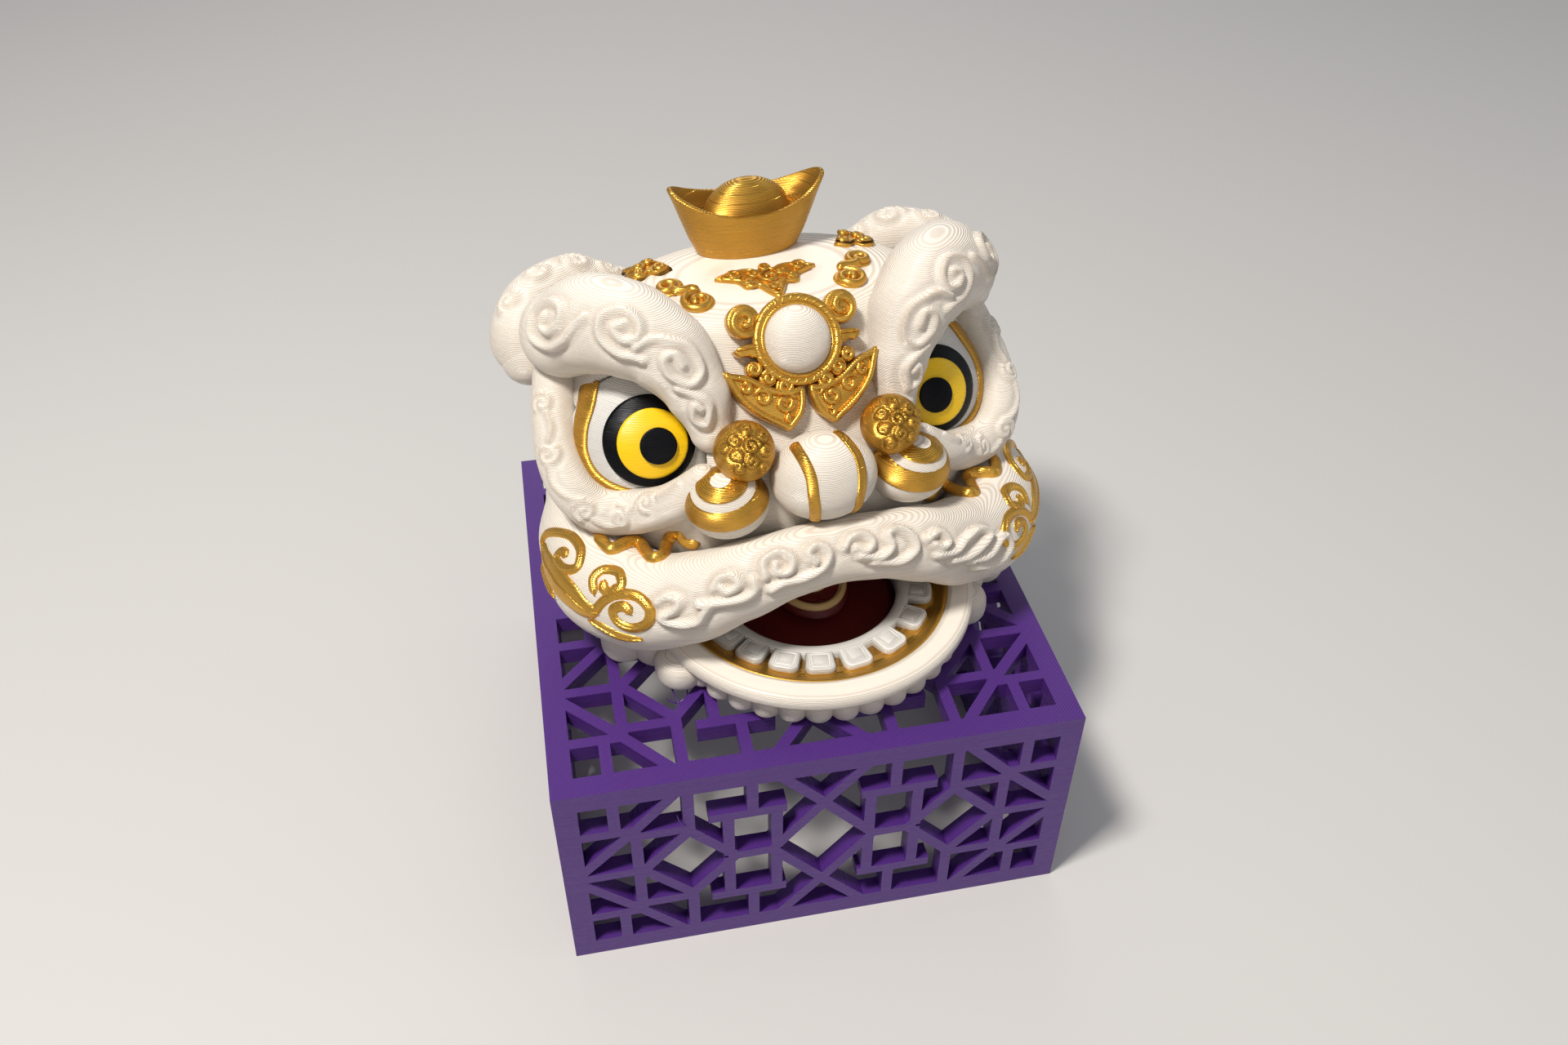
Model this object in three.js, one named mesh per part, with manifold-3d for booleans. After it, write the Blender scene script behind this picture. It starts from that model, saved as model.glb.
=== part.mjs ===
// A small printed lion dance head in ivory, gold and dark red, standing on a pierced purple box.
// Millimetres, +Z up, the front towards -Y. The origin is under the middle of the whole, on the table.
import * as THREE from "three";
import { mergeVertices } from "three/addons/utils/BufferGeometryUtils.js";
import Module from "manifold-3d";

const wasm = await Module();
wasm.setup();

// Driving sizes

const gap = 0.3; // clearance between pieces that touch
const weld = 1e-3; // vertices closer than this are one
const seat = 3; // how deep a cutter or a plate reaches into what carries it

const stand = {
  width: 100,
  depth: 100,
  height: 49.5,
  wall: 3.6,
  strut: 2.2,
  smallestGap: 12, // mm3; anything less would only be a nick beside a strut
  rim: 4.3, // solid border round each pierced panel
};

const head = {
  width: 100,
  depth: 90,
  height: 62, // from the stand to the crown
  turn: THREE.MathUtils.degToRad(6.3), // turned to its left on the stand
  offset: 3.6, // off the stand's centre, along the head's own width
};

const eye = {
  ball: 17.5,
  disc: 8.4,
  iris: 6.3,
  pupil: 3.2,
  relief: 0.5,
  pupilRelief: 1.1,
  opening: 13.2, // radius of the round opening that the eyeball fills
  back: 1.6, // how far the eyeball goes in behind that opening
};
const linerRadius = 1.15;
const mirror = { ball: 5.9, ring: 7.15, rope: 0.95, sunk: 1.2 };
const ornament = { relief: 1.2, back: 2 };
const ingot = { length: 31, width: 13.4, base: 20, height: 10.3, rise: 4.9, wall: 1.2, dome: 8, domeRise: 15.4 };
const nose = { across: 9.9, deep: 8.4, tall: 8, stripe: 1.5, stripeRelief: 0.45, stripeLean: -0.1 };
const nostrilBall = 5.7;
const cheekBall = { across: 7.9, deep: 7.4, tall: 6.6 };
const cheekScroll = { width: 1.7, relief: 0.9 };
const zigzag = { width: 1.6, relief: 0.7 };
const jaw = { radius: 32.5, rim: 5.3, top: 9.3, thick: 3, floor: 2.2, foot: 1, wall: 0.7, step: 0.9 };
const gum = { inner: 20.2, height: 4.4 };
const tooth = { inner: 17.4, outer: 23.6, height: 5.4, count: 10, slot: 1.3, phase: THREE.MathUtils.degToRad(-5.3) };
const tongue = { across: 7.6, deep: 10, tall: 3.2, ring: 0.9, band: 1.6 };
const mouth = { across: 25, deep: 19, tall: 17, wall: 1.4, floor: 1.2 };
const ruffle = { smallBulge: 1.7, smallCount: 13, bigBulge: 3.2, bigCount: 9 };

// Materials

const paint = (color, roughness, metalness = 0) => new THREE.MeshStandardMaterial({ color, roughness, metalness });
const ivory = paint(0xf1ebdf, 0.45);
const gold = paint(0xc08a1e, 0.3, 0.85);
const purple = paint(0x6a3fa8, 0.38);
const maroon = paint(0x3a0608, 0.6);
const black = paint(0x0c0d12, 0.35);
const yellow = paint(0xf2c200, 0.4);
const white = paint(0xf6f4ee, 0.4);

// Small helpers

// A place on the head from shares of its width, depth and height, with the middle of the width as zero.
const at = (across, back, up) => new THREE.Vector3(across * head.width, back * head.depth, up * head.height);

function toSolid(geometry) {
  const bare = new THREE.BufferGeometry();
  bare.setAttribute("position", geometry.getAttribute("position"));
  bare.setIndex(geometry.index);
  const merged = mergeVertices(bare, weld);
  const corners = [];
  const index = merged.index.array;
  for (let i = 0; i < index.length; i += 3) {
    const [a, b, c] = [index[i], index[i + 1], index[i + 2]];
    if (a !== b && b !== c && c !== a) corners.push(a, b, c);
  }
  const solid = new wasm.Manifold(
    new wasm.Mesh({
      numProp: 3,
      vertProperties: merged.attributes.position.array,
      triVerts: new Uint32Array(corners),
    }),
  );
  return solid;
}

const join = (solids) => solids.reduce((sum, next) => sum.add(next));
const cut = (solid, cutters) => cutters.reduce((left, next) => left.subtract(next), solid);

// The largest body of a solid, without the slivers that a cut can leave.
const mainBody = (solid) => solid.decompose().reduce((best, next) => (next.volume() > best.volume() ? next : best));

function toMesh(name, solid, material) {
  const made = mainBody(solid).getMesh();
  const geometry = new THREE.BufferGeometry();
  const places = new Float32Array(made.numVert * 3);
  for (let i = 0; i < made.numVert; i++) {
    places.set(made.vertProperties.subarray(i * made.numProp, i * made.numProp + 3), i * 3);
  }
  geometry.setAttribute("position", new THREE.BufferAttribute(places, 3));
  geometry.setIndex(new THREE.BufferAttribute(made.triVerts, 1));
  geometry.computeVertexNormals();
  const mesh = new THREE.Mesh(geometry, material);
  mesh.name = name;
  return mesh;
}

// A closed surface over rings of points, with a point at each end.
function loft(rings, first, last) {
  const sides = rings[0].length;
  const places = [first, ...rings.flat(), last].flatMap((p) => [p.x, p.y, p.z]);
  const end = rings.length * sides + 1;
  const index = [];
  for (let k = 0; k < sides; k++) {
    const next = (k + 1) % sides;
    index.push(0, 1 + next, 1 + k);
    for (let r = 0; r < rings.length - 1; r++) {
      const low = 1 + r * sides;
      const high = low + sides;
      index.push(low + k, low + next, high + next, low + k, high + next, high + k);
    }
    index.push(end, end - sides + k, end - sides + next);
  }
  const geometry = new THREE.BufferGeometry();
  geometry.setAttribute("position", new THREE.Float32BufferAttribute(places, 3));
  geometry.setIndex(index);
  return toSolid(geometry);
}

// A ball with its own half lengths. Like the other shapes below it is a function of how far it is grown.
function ball(centre, half, around = 12, down = 7) {
  return (grow = 0) =>
    toSolid(
      new THREE.SphereGeometry(1, around, down)
        .rotateX(Math.PI / 2)
        .scale(half[0] + grow, half[1] + grow, half[2] + grow)
        .translate(centre.x, centre.y, centre.z),
    );
}

// A thick roll along a smooth curve through places, with a radius at each and round ends.
function roll(places, radii, { sides = 10, steps = 12 } = {}) {
  const curve = new THREE.CatmullRomCurve3(places, false, "centripetal");
  const spans = places.length - 1;
  const radiusAt = (t) => {
    const low = Math.min(Math.floor(t * spans), spans - 1);
    const part = THREE.MathUtils.smoothstep(t * spans - low, 0, 1);
    return THREE.MathUtils.lerp(radii[low], radii[low + 1], part);
  };
  const upward = new THREE.Vector3(0, 0, 1);
  const ring = (centre, along, radius) => {
    const side = new THREE.Vector3().crossVectors(along, upward).normalize();
    const rise = new THREE.Vector3().crossVectors(along, side);
    return Array.from({ length: sides }, (_, k) => {
      const turn = (2 * Math.PI * k) / sides;
      return centre
        .clone()
        .addScaledVector(side, radius * Math.cos(turn))
        .addScaledVector(rise, radius * Math.sin(turn));
    });
  };
  return (grow = 0) => {
    const stations = [];
    const cap = (t, way) => {
      const [centre, along, radius] = [curve.getPoint(t), curve.getTangent(t), radiusAt(t) + grow];
      return [40, 70].map((degrees) => {
        const lean = THREE.MathUtils.degToRad(degrees);
        return ring(centre.clone().addScaledVector(along, way * radius * Math.sin(lean)), along, radius * Math.cos(lean));
      });
    };
    stations.push(...cap(0, -1).reverse());
    for (let i = 0; i <= steps; i++) {
      const t = i / steps;
      stations.push(ring(curve.getPoint(t), curve.getTangent(t), radiusAt(t) + grow));
    }
    stations.push(...cap(1, 1));
    const tip = (t, way) => curve.getPoint(t).addScaledVector(curve.getTangent(t), way * (radiusAt(t) + grow));
    return loft(stations, tip(0, -1), tip(1, 1));
  };
}

// A prism of a flat outline. Its plane has a middle, a direction to the right and one upwards.
function prism(outline, frame, back, front) {
  const shape = new THREE.Shape(outline.map(([x, y]) => new THREE.Vector2(x, y)));
  const geometry = new THREE.ExtrudeGeometry(shape, { depth: front + back, bevelEnabled: false, curveSegments: 8 });
  geometry.translate(0, 0, -back);
  geometry.applyMatrix4(frame);
  return toSolid(geometry);
}

function planeFrame(middle, right, outward) {
  const up = new THREE.Vector3().crossVectors(outward, right).normalize();
  return new THREE.Matrix4().makeBasis(right, up, outward).setPosition(middle);
}

// The outline of a band of even width along a flat line, drawn with both of its edges.
function bandOutline(line, width, perSpan = 1) {
  const curve = new THREE.SplineCurve(line.map(([x, y]) => new THREE.Vector2(x, y)));
  const steps = perSpan * (line.length - 1);
  const left = [];
  const right = [];
  for (let i = 0; i <= steps; i++) {
    const t = i / steps;
    const along = curve.getTangent(t);
    const spot = curve.getPoint(t);
    const half = width / 2;
    left.push([spot.x - along.y * half, spot.y + along.x * half]);
    right.push([spot.x + along.y * half, spot.y - along.x * half]);
  }
  return [...right, ...left.reverse()];
}

// Stand

// One quarter of a panel's pattern: its upper left struts, as shares of half the panel's width and height.
const strutChart = [
  { name: "corner square, upright", from: [-0.788, 0.86], to: [-0.788, 0.509] },
  { name: "corner square, level", from: [-0.95, 0.509], to: [-0.744, 0.509] },
  { name: "corner knot to the rim", from: [-0.744, 0.448], to: [-0.56, 0.86] },
  { name: "corner knot to the side", from: [-0.744, 0.448], to: [-0.95, 0.03] },
  { name: "corner knot to the large diamond", from: [-0.744, 0.428], to: [-0.515, 0.428] },
  { name: "corner knot, upright", from: [-0.715, 0.448], to: [-0.715, -0.01] },
  { name: "large diamond to the rim", from: [-0.515, 0.394], to: [-0.515, 0.86], plain: true },
  { name: "large diamond, outer side", from: [-0.515, 0.394], to: [-0.7, -0.005], plain: true },
  { name: "large diamond, inner side", from: [-0.515, 0.394], to: [-0.338, -0.005], plain: true },
  { name: "side to the knot", from: [-0.95, 0], to: [-0.69, 0], plain: true },
  { name: "lantern hanger", from: [-0.275, 0.86], to: [-0.275, 0.497] },
  { name: "lantern lid", from: [-0.424, 0.497], to: [-0.162, 0.497] },
  { name: "lantern, outer side", from: [-0.368, 0.497], to: [-0.368, 0.05] },
  { name: "lantern, inner side", from: [-0.182, 0.497], to: [-0.182, 0.05] },
  { name: "lantern to the middle", from: [-0.338, 0], to: [-0.2, 0] },
  { name: "middle diamond", from: [0, 0.485], to: [-0.202, -0.005], plain: true },
  { name: "middle diamond to the rim", from: [0, 0.485], to: [-0.165, 0.86], plain: true },
];

// What is cut out of a panel that lies in its frame's plane: its window without the struts.
function panelGaps(width, height, frame, plain) {
  const through = stand.wall + 2 * seat;
  const window = new THREE.BoxGeometry(width - 2 * stand.rim, height - 2 * stand.rim, through);
  const struts = [];
  for (const row of strutChart) {
    if (plain && !row.plain) continue;
    for (const [sideX, sideY] of [[1, 1], [-1, 1], [1, -1], [-1, -1]]) {
      const from = new THREE.Vector2(sideX * row.from[0] * (width / 2), sideY * row.from[1] * (height / 2));
      const to = new THREE.Vector2(sideX * row.to[0] * (width / 2), sideY * row.to[1] * (height / 2));
      const along = to.clone().sub(from);
      const bar = new THREE.BoxGeometry(along.length() + stand.strut * 0.8, stand.strut, 2 * through);
      bar.rotateZ(along.angle());
      bar.translate((from.x + to.x) / 2, (from.y + to.y) / 2, 0);
      struts.push(toSolid(bar.applyMatrix4(frame)));
    }
  }
  const gaps = cut(toSolid(window.applyMatrix4(frame)), struts).decompose();
  return join(gaps.filter((one) => one.volume() > stand.smallestGap * (through / stand.wall)));
}

function makeStand() {
  const { width, depth, height, wall } = stand;
  const outer = new THREE.BoxGeometry(width, depth, height).translate(0, 0, height / 2);
  const hollow = new THREE.BoxGeometry(width - 2 * wall, depth - 2 * wall, height).translate(0, 0, height / 2 - wall);
  const x = new THREE.Vector3(1, 0, 0);
  const y = new THREE.Vector3(0, 1, 0);
  const middle = height / 2;
  const sides = [
    { width, middle: [0, -depth / 2 + wall / 2, middle], right: x, outward: y.clone().negate() },
    { width, middle: [0, depth / 2 - wall / 2, middle], right: x.clone().negate(), outward: y, plain: true },
    { width: depth, middle: [width / 2 - wall / 2, 0, middle], right: y, outward: x, plain: true },
    {
      width: depth,
      middle: [-width / 2 + wall / 2, 0, middle],
      right: y.clone().negate(),
      outward: x.clone().negate(),
      plain: true,
    },
  ];
  const gaps = sides.map((side) =>
    panelGaps(side.width, height, planeFrame(new THREE.Vector3(...side.middle), side.right, side.outward), side.plain),
  );
  const lid = height - wall / 2;
  const upward = new THREE.Vector3(0, 0, 1);
  for (const [back, plain] of [[-depth / 4, false], [depth / 4, true]]) {
    gaps.push(panelGaps(width, depth / 2, planeFrame(new THREE.Vector3(0, back, lid), x, upward), plain));
  }
  return cut(toSolid(outer), [toSolid(hollow), ...gaps]);
}

// Head: the skull and what is rolled on to it

// Level sections of the skull, as shares of the head's height, width and depth.
const skullSections = [
  { up: 0.1, half: 0.36, front: -0.13, back: 0.46 },
  { up: 0.2, half: 0.395, front: -0.14, back: 0.49 },
  { up: 0.4, half: 0.42, front: -0.205, back: 0.505 },
  { up: 0.58, half: 0.425, front: -0.2, back: 0.505 },
  { up: 0.72, half: 0.407, front: -0.127, back: 0.485 },
  { up: 0.84, half: 0.37, front: -0.062, back: 0.46 },
  { up: 0.92, half: 0.327, front: -0.02, back: 0.43 },
  { up: 0.97, half: 0.27, front: 0.012, back: 0.395 },
  { up: 0.995, half: 0.185, front: 0.065, back: 0.33 },
];
const skullCrown = at(0, 0.2, 1);
const skullSides = 20;

function skull(grow = 0) {
  const squareness = 2 / 2.15;
  const rings = skullSections.map((row, i) => {
    const lift = i === 0 ? -grow : (grow * Math.max(0, row.up - 0.8)) / 0.2;
    const front = row.front * head.depth - grow;
    const back = row.back * head.depth + grow;
    const half = row.half * head.width + grow;
    return Array.from({ length: skullSides }, (_, k) => {
      const turn = (2 * Math.PI * (k + 0.5)) / skullSides;
      const [c, s] = [Math.cos(turn), Math.sin(turn)];
      const across = half * Math.sign(c) * Math.abs(c) ** squareness;
      const middle = (front + back) / 2;
      const reach = (back - front) / 2;
      return new THREE.Vector3(across, middle + reach * Math.sign(s) * Math.abs(s) ** squareness, row.up * head.height + lift);
    });
  });
  const foot = at(0, 0.16, skullSections[0].up);
  foot.z -= grow;
  const crown = skullCrown.clone();
  crown.z += grow;
  return loft(rings, foot, crown);
}

// Middle lines of the rolls on the right half of the face, as shares, with the radius in millimetres.
const browLine = [
  { place: [0.178, -0.085, 0.745], radius: 4 },
  { place: [0.192, -0.045, 0.845], radius: 5.9 },
  { place: [0.232, 0.014, 0.945], radius: 7.8 },
  { place: [0.29, 0.075, 0.985], radius: 8.8 },
  { place: [0.345, 0.135, 0.97], radius: 9.2 },
  { place: [0.39, 0.18, 0.915], radius: 8.4 },
];
const earLine = [
  { place: [0.25, 0.42, 0.83], radius: 4.6 },
  { place: [0.344, 0.415, 0.875], radius: 6 },
  { place: [0.425, 0.365, 0.86], radius: 6.2 },
  { place: [0.462, 0.29, 0.815], radius: 6 },
  { place: [0.455, 0.26, 0.775], radius: 5.4 },
];
const socketLine = [
  { place: [0.42, 0.175, 0.765], radius: 4.2 },
  { place: [0.437, 0.112, 0.693], radius: 4.2 },
  { place: [0.444, 0.04, 0.61], radius: 4.2 },
  { place: [0.43, -0.02, 0.545], radius: 4.2 },
  { place: [0.39, -0.055, 0.495], radius: 4.3 },
  { place: [0.33, -0.085, 0.49], radius: 3.9 },
  { place: [0.265, -0.135, 0.55], radius: 3.2 },
  { place: [0.215, -0.155, 0.63], radius: 2.9 },
];
const lipLine = [
  { place: [0.395, 0.15, 0.33], radius: 7.4 },
  { place: [0.41, 0.03, 0.285], radius: 9.4 },
  { place: [0.4, -0.09, 0.265], radius: 10.3 },
  { place: [0.345, -0.18, 0.272], radius: 9.8 },
  { place: [0.265, -0.24, 0.32], radius: 8.5 },
  { place: [0.18, -0.275, 0.39], radius: 7.3 },
  { place: [0.085, -0.285, 0.435], radius: 6.3 },
];
const lipMiddle = { place: [0, -0.285, 0.447], radius: 6 };

const lineRoll = (line, side, detail) =>
  roll(line.map(({ place }) => at(side * place[0], place[1], place[2])), line.map(({ radius }) => radius), detail);
const brow = (side) => lineRoll(browLine, side, { sides: 8, steps: 9 });
const ear = (side) => lineRoll(earLine, side, { sides: 7, steps: 5 });
const socket = (side) => lineRoll(socketLine, side, { sides: 7, steps: 8 });
const leftLip = lipLine.map(({ place, radius }) => ({ place: [-place[0], place[1], place[2]], radius }));
const lip = lineRoll([...leftLip, lipMiddle, ...lipLine.toReversed()], 1, { sides: 8, steps: 16 });

// Head: eyes

// The face leans back: the ornaments and the eyes look along this direction.
const faceOut = new THREE.Vector3(0, -0.79, 0.613).normalize();
const acrossHead = new THREE.Vector3(1, 0, 0);

const yAxis = new THREE.Vector3(0, 1, 0);
const zAxis = new THREE.Vector3(0, 0, 1);
const eyeCentre = (side) => at(0.26 * side, 0.122, 0.565);

// Where the middle of each layer of the eye points: the rings are set off outwards from the pupil.
const eyeLook = (side, outward, upward) => new THREE.Vector3(side * (0.07 + outward), -0.89, 0.45 + upward).normalize();
const looks = {
  pupil: [0, 0],
  iris: [0.052, 0.025],
  disc: [0.086, 0.057],
  opening: [0.28, -0.02],
};

function turnToEye(geometry, side, layer) {
  geometry.applyQuaternion(new THREE.Quaternion().setFromUnitVectors(yAxis, eyeLook(side, ...looks[layer])));
  const centre = eyeCentre(side);
  return toSolid(geometry.translate(centre.x, centre.y, centre.z));
}

// Points on a ball's outline from its top out to a radius.
function capProfile(whole, radius, steps) {
  const lean = Math.asin(radius / whole);
  return steps.map((t) => new THREE.Vector2(whole * Math.sin(lean * t), whole * Math.cos(lean * t)));
}

// A round cap over the eyeball between two heights over the ball.
function eyeCap(side, layer, radius, low, high) {
  const steps = [0, 0.6, 1];
  const under = capProfile(eye.ball + low, radius, steps);
  const over = capProfile(eye.ball + high, radius, steps).reverse();
  return turnToEye(new THREE.LatheGeometry([...under, ...over], 12), side, layer);
}

// The eyeball is the front of a ball, with a flat back, in a round opening of the skull.
const eyeBack = Math.sqrt(eye.ball ** 2 - eye.opening ** 2) - eye.back;

const eyeball = (side) => (grow = 0) => {
  const cap = capProfile(eye.ball + grow, eye.opening, [1, 0.8, 0.6, 0.35, 0]);
  const profile = [new THREE.Vector2(0, eyeBack), new THREE.Vector2(eye.opening, eyeBack), ...cap];
  return turnToEye(new THREE.LatheGeometry(profile, 14), side, "opening");
};

function eyeOpening(side) {
  const [low, high, radius] = [eyeBack - gap, 1.6 * eye.ball, eye.opening + gap];
  const profile = [[0, low], [radius, low], [radius, high], [0, high]].map(([x, y]) => new THREE.Vector2(x, y));
  return turnToEye(new THREE.LatheGeometry(profile, 14), side, "opening");
}

const linerLine = [
  [0.378, 0.17, 0.77], [0.395, 0.095, 0.698], [0.404, 0.05, 0.65], [0.402, 0.018, 0.612],
  [0.388, -0.016, 0.582], [0.362, -0.038, 0.556], [0.33, -0.056, 0.548], [0.3, -0.068, 0.562],
];
const eyeLinerRoll = (side) =>
  lineRoll(linerLine.map((place) => ({ place, radius: linerRadius })), side, { sides: 6, steps: 7 });

// Head: ornaments

// The gold plates on the forehead lie in one plane. Their outlines are measured from the ring's middle.
const ringMiddle = at(0, -0.026, 0.952);
const foreheadFrame = planeFrame(ringMiddle, acrossHead, faceOut);

const wingOutline = [
  [0.5, -7.8], [0.5, -11.6], [4.6, -15.6], [8.2, -13.4], [11.4, -9.4], [13.6, -6], [14.8, -3.2],
  [12.3, -3.8], [11.6, -5.6], [9, -5.4], [7.6, -4.4], [4.6, -7],
];
const curlPlaces = [
  { across: 8.9, up: 4.6, radius: 3.1 },
  { across: 7.9, up: -4.1, radius: 1.6 },
];
const hornOutline = [[6.9, 1.1], [8.6, 1.3], [10.9, 0.7], [12.2, -0.4], [10.2, -0.9], [8.4, -1.6], [7, -1.4]];

const flip = (outline, side) => (side > 0 ? outline : outline.map(([x, y]) => [-x, y]).reverse());

// Flat pieces on the crown. Their outlines are seen from above, measured from the middle of each piece.
const crownFrame = (place) => planeFrame(place, acrossHead, zAxis);
const flowerHalf = [
  [0, 6.3], [1.8, 4.6], [3.4, 5.6], [6.2, 5.7], [8.2, 5], [10, 3.8],
  [8, 2.6], [6.2, 1.6], [5, -1], [3, -0.8], [1.6, -3.4], [0, -5.6],
];
const flowerOutline = [...flowerHalf, ...flowerHalf.slice(1, -1).reverse().map(([x, y]) => [-x, y])].reverse();
const smallFlowerOutline = [
  [-4.2, -1.4], [-1.6, -2.6], [0.2, -1.2], [2, -2.6], [4, -1.8], [4.4, 1.2],
  [2.4, 2.2], [4.4, 4.6], [1.6, 3.6], [-0.6, 5.2], [-2.2, 2.6],
];
const scrollOutline = [
  [-1.8, -6.4], [0.6, -5.2], [2.4, -2.8], [2.9, 0.2], [1.8, 2.2], [0, 2.4], [-1.2, 3.2], [-1.6, 5], [-3.2, 6.4],
  [-5.6, 6.2], [-6.8, 4.2], [-6.2, 2.2], [-4.2, 1], [-3, -0.6], [-3.8, -2.4], [-3.6, -4.6],
];

// Cuts a prism down to a raised layer on what carries it.
function raised(outlinePrism, carrier, relief) {
  return outlinePrism.intersect(carrier(gap + relief)).subtract(carrier(gap));
}

// The gold ingot: a boat that rises to both ends, with a dome inside.
function ingotBody(middle) {
  const sides = 14;
  const outline = (length, width, low, rise) =>
    Array.from({ length: sides }, (_, k) => {
      const turn = (2 * Math.PI * k) / sides;
      const end = Math.abs(Math.cos(turn)) ** 2.2;
      return middle
        .clone()
        .add(new THREE.Vector3((length / 2) * Math.cos(turn), (width / 2) * Math.sin(turn), low + rise * end));
    });
  const half = (ingot.length + ingot.base) / 2;
  const outside = [
    outline(ingot.base * 0.9, ingot.width * 0.7, 0, 0),
    outline(ingot.base, ingot.width * 0.8, 1.4, 0),
    outline(half, ingot.width * 0.93, ingot.height * 0.6, ingot.rise * 0.5),
    outline(ingot.length, ingot.width, ingot.height, ingot.rise),
  ];
  const inner = 2 * ingot.wall;
  const inside = [
    outline(ingot.length - inner, ingot.width - inner, ingot.height, ingot.rise * 0.97),
    outline(half - inner, ingot.width * 0.85 - inner, ingot.height * 0.72, ingot.rise * 0.45),
  ];
  const foot = middle.clone();
  const bowl = middle.clone().add(new THREE.Vector3(0, 0, ingot.height * 0.72));
  return loft([...outside, ...inside], foot, bowl);
}

const ingotMiddle = at(0, 0.322, 0.98);
const ingotDome = (grow = 0) =>
  ball(
    ingotMiddle.clone().add(new THREE.Vector3(0, 0, ingot.domeRise - ingot.dome)),
    [ingot.dome * 1.12, ingot.width / 2 - 2 * ingot.wall, ingot.dome],
  )(grow);

// Head: nose and cheeks

const noseMiddle = at(0, -0.208, 0.65);
const noseBall = ball(noseMiddle, [nose.across, nose.deep, nose.tall]);
const nostril = (side) => ball(at(0.139 * side, -0.169, 0.745), [nostrilBall, nostrilBall, nostrilBall]);
const cheek = (side) => ball(at(0.176 * side, -0.185, 0.59), [cheekBall.across, cheekBall.deep, cheekBall.tall]);

function noseStripe(side) {
  const band = new THREE.BoxGeometry(nose.stripe, 4 * nose.deep, 4 * nose.tall);
  band.rotateY(side * -nose.stripeLean);
  band.translate(side * nose.across * 0.48, noseMiddle.y, noseMiddle.z);
  const front = new THREE.BoxGeometry(head.width, head.depth, head.height);
  front.translate(0, noseMiddle.y - head.depth / 2, noseMiddle.z);
  return toSolid(band).intersect(toSolid(front)).intersect(noseBall(gap + nose.stripeRelief)).subtract(noseBall(gap));
}

// Gold scrolls on the cheeks and the wavy line under each eye, drawn flat on the right half of the face.
const cheekFrame = (side) =>
  planeFrame(
    at(0.385 * side, -0.14, 0.33),
    new THREE.Vector3(0.77, side * 0.64, 0).normalize(),
    new THREE.Vector3(side * 0.5, -0.6, 0.62).normalize(),
  );
const cheekBands = [
  [[8, 1], [6.8, 3.6], [8.6, 5.8], [11.6, 5.4], [13.2, 2.4], [12, -1], [8.8, -3.4], [4, -5.4], [-2, -8.2]],
  [[-1, -7.8], [-5.4, -9], [-8.8, -7.4], [-9, -4], [-6.2, -2.2], [-4, -4.4]],
  [[-8, -3.4], [-5, -0.4], [-3.8, 2.2], [-1.2, 3.2], [1.4, 1.8], [1, -1]],
];
const zigzagFrame = (side) => planeFrame(at(0.335 * side, -0.17, 0.46), acrossHead, faceOut);
const zigzagLine = [[7.4, 0.8], [5.6, -0.8], [2.1, 0.8], [-1.8, -2.4], [-4.8, 2.2], [-9.9, 0.4]];

// Head: mouth

const jawMiddle = at(0, -0.141, 0);
const jawSides = 24;
const bowlFloor = jaw.foot + jaw.floor + gap;
const bowlRadius = jaw.radius - jaw.rim - jaw.step;

function lathe(profile, sides, middle) {
  const geometry = new THREE.LatheGeometry(profile.map(([x, y]) => new THREE.Vector2(x, y)), sides);
  return toSolid(geometry.rotateX(Math.PI / 2).translate(middle.x, middle.y, middle.z));
}

function jawDish(grow = 0) {
  const { radius, top, thick, foot, rim, wall } = jaw;
  const under = top - thick;
  const bowl = bowlRadius + wall;
  const outside = [
    [0, foot - grow], [bowl - 1.6 + grow, foot - grow], [bowl + grow, under - 0.6 - grow],
    [radius - 1 + grow, under - grow], [radius + grow, under + 1],
    [radius + grow, top - 0.9 + grow], [radius - 0.9, top + grow],
  ];
  const inside = [[radius - rim, top], [bowlRadius, top - 1], [bowlRadius, foot + jaw.floor], [0, foot + jaw.floor]];
  return lathe([...outside, ...(grow > 0 ? [[0, top + grow]] : inside)], jawSides, jawMiddle);
}

const gumBand = lathe(
  [
    [gum.inner, bowlFloor], [bowlRadius - gap, bowlFloor], [bowlRadius - gap, bowlFloor + gum.height],
    [gum.inner, bowlFloor + gum.height * 0.55], [gum.inner, bowlFloor],
  ],
  jawSides,
  jawMiddle,
);

function teethRow() {
  const { inner, outer, height, count, slot, phase } = tooth;
  const top = bowlFloor + height;
  const low = bowlFloor + gum.height + gap;
  const strip = lathe(
    [[inner, bowlFloor], [gum.inner - gap, bowlFloor], [gum.inner - gap, top], [inner, top], [inner, bowlFloor]],
    jawSides,
    jawMiddle,
  );
  const half = (Math.PI * (inner + outer)) / 4 / count - slot / 2;
  const blocks = Array.from({ length: count }, (_, i) => {
    const [root, shoulder] = [inner + 1, outer - 1.8];
    const outline = [[root, -half * 0.8], [shoulder, -half], [outer, 0], [shoulder, half], [root, half * 0.8]];
    const turn = Math.PI + (Math.PI * (i + 1)) / count + phase;
    const frame = new THREE.Matrix4().makeRotationZ(turn).setPosition(jawMiddle.x, jawMiddle.y, low);
    return prism(outline, frame, 0, top - low);
  });
  return join([strip, ...blocks]);
}

// The dark red floor inside the row of teeth.
function mouthFloor() {
  const disc = new THREE.CylinderGeometry(tooth.inner - gap, tooth.inner - gap, mouth.floor, 24).rotateX(Math.PI / 2);
  return toSolid(disc.translate(jawMiddle.x, jawMiddle.y, bowlFloor + mouth.floor / 2));
}

const mouthMiddle = at(0, -0.14, 0.16);
const mouthHollow = ball(mouthMiddle, [mouth.across, mouth.deep, mouth.tall]);

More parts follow.
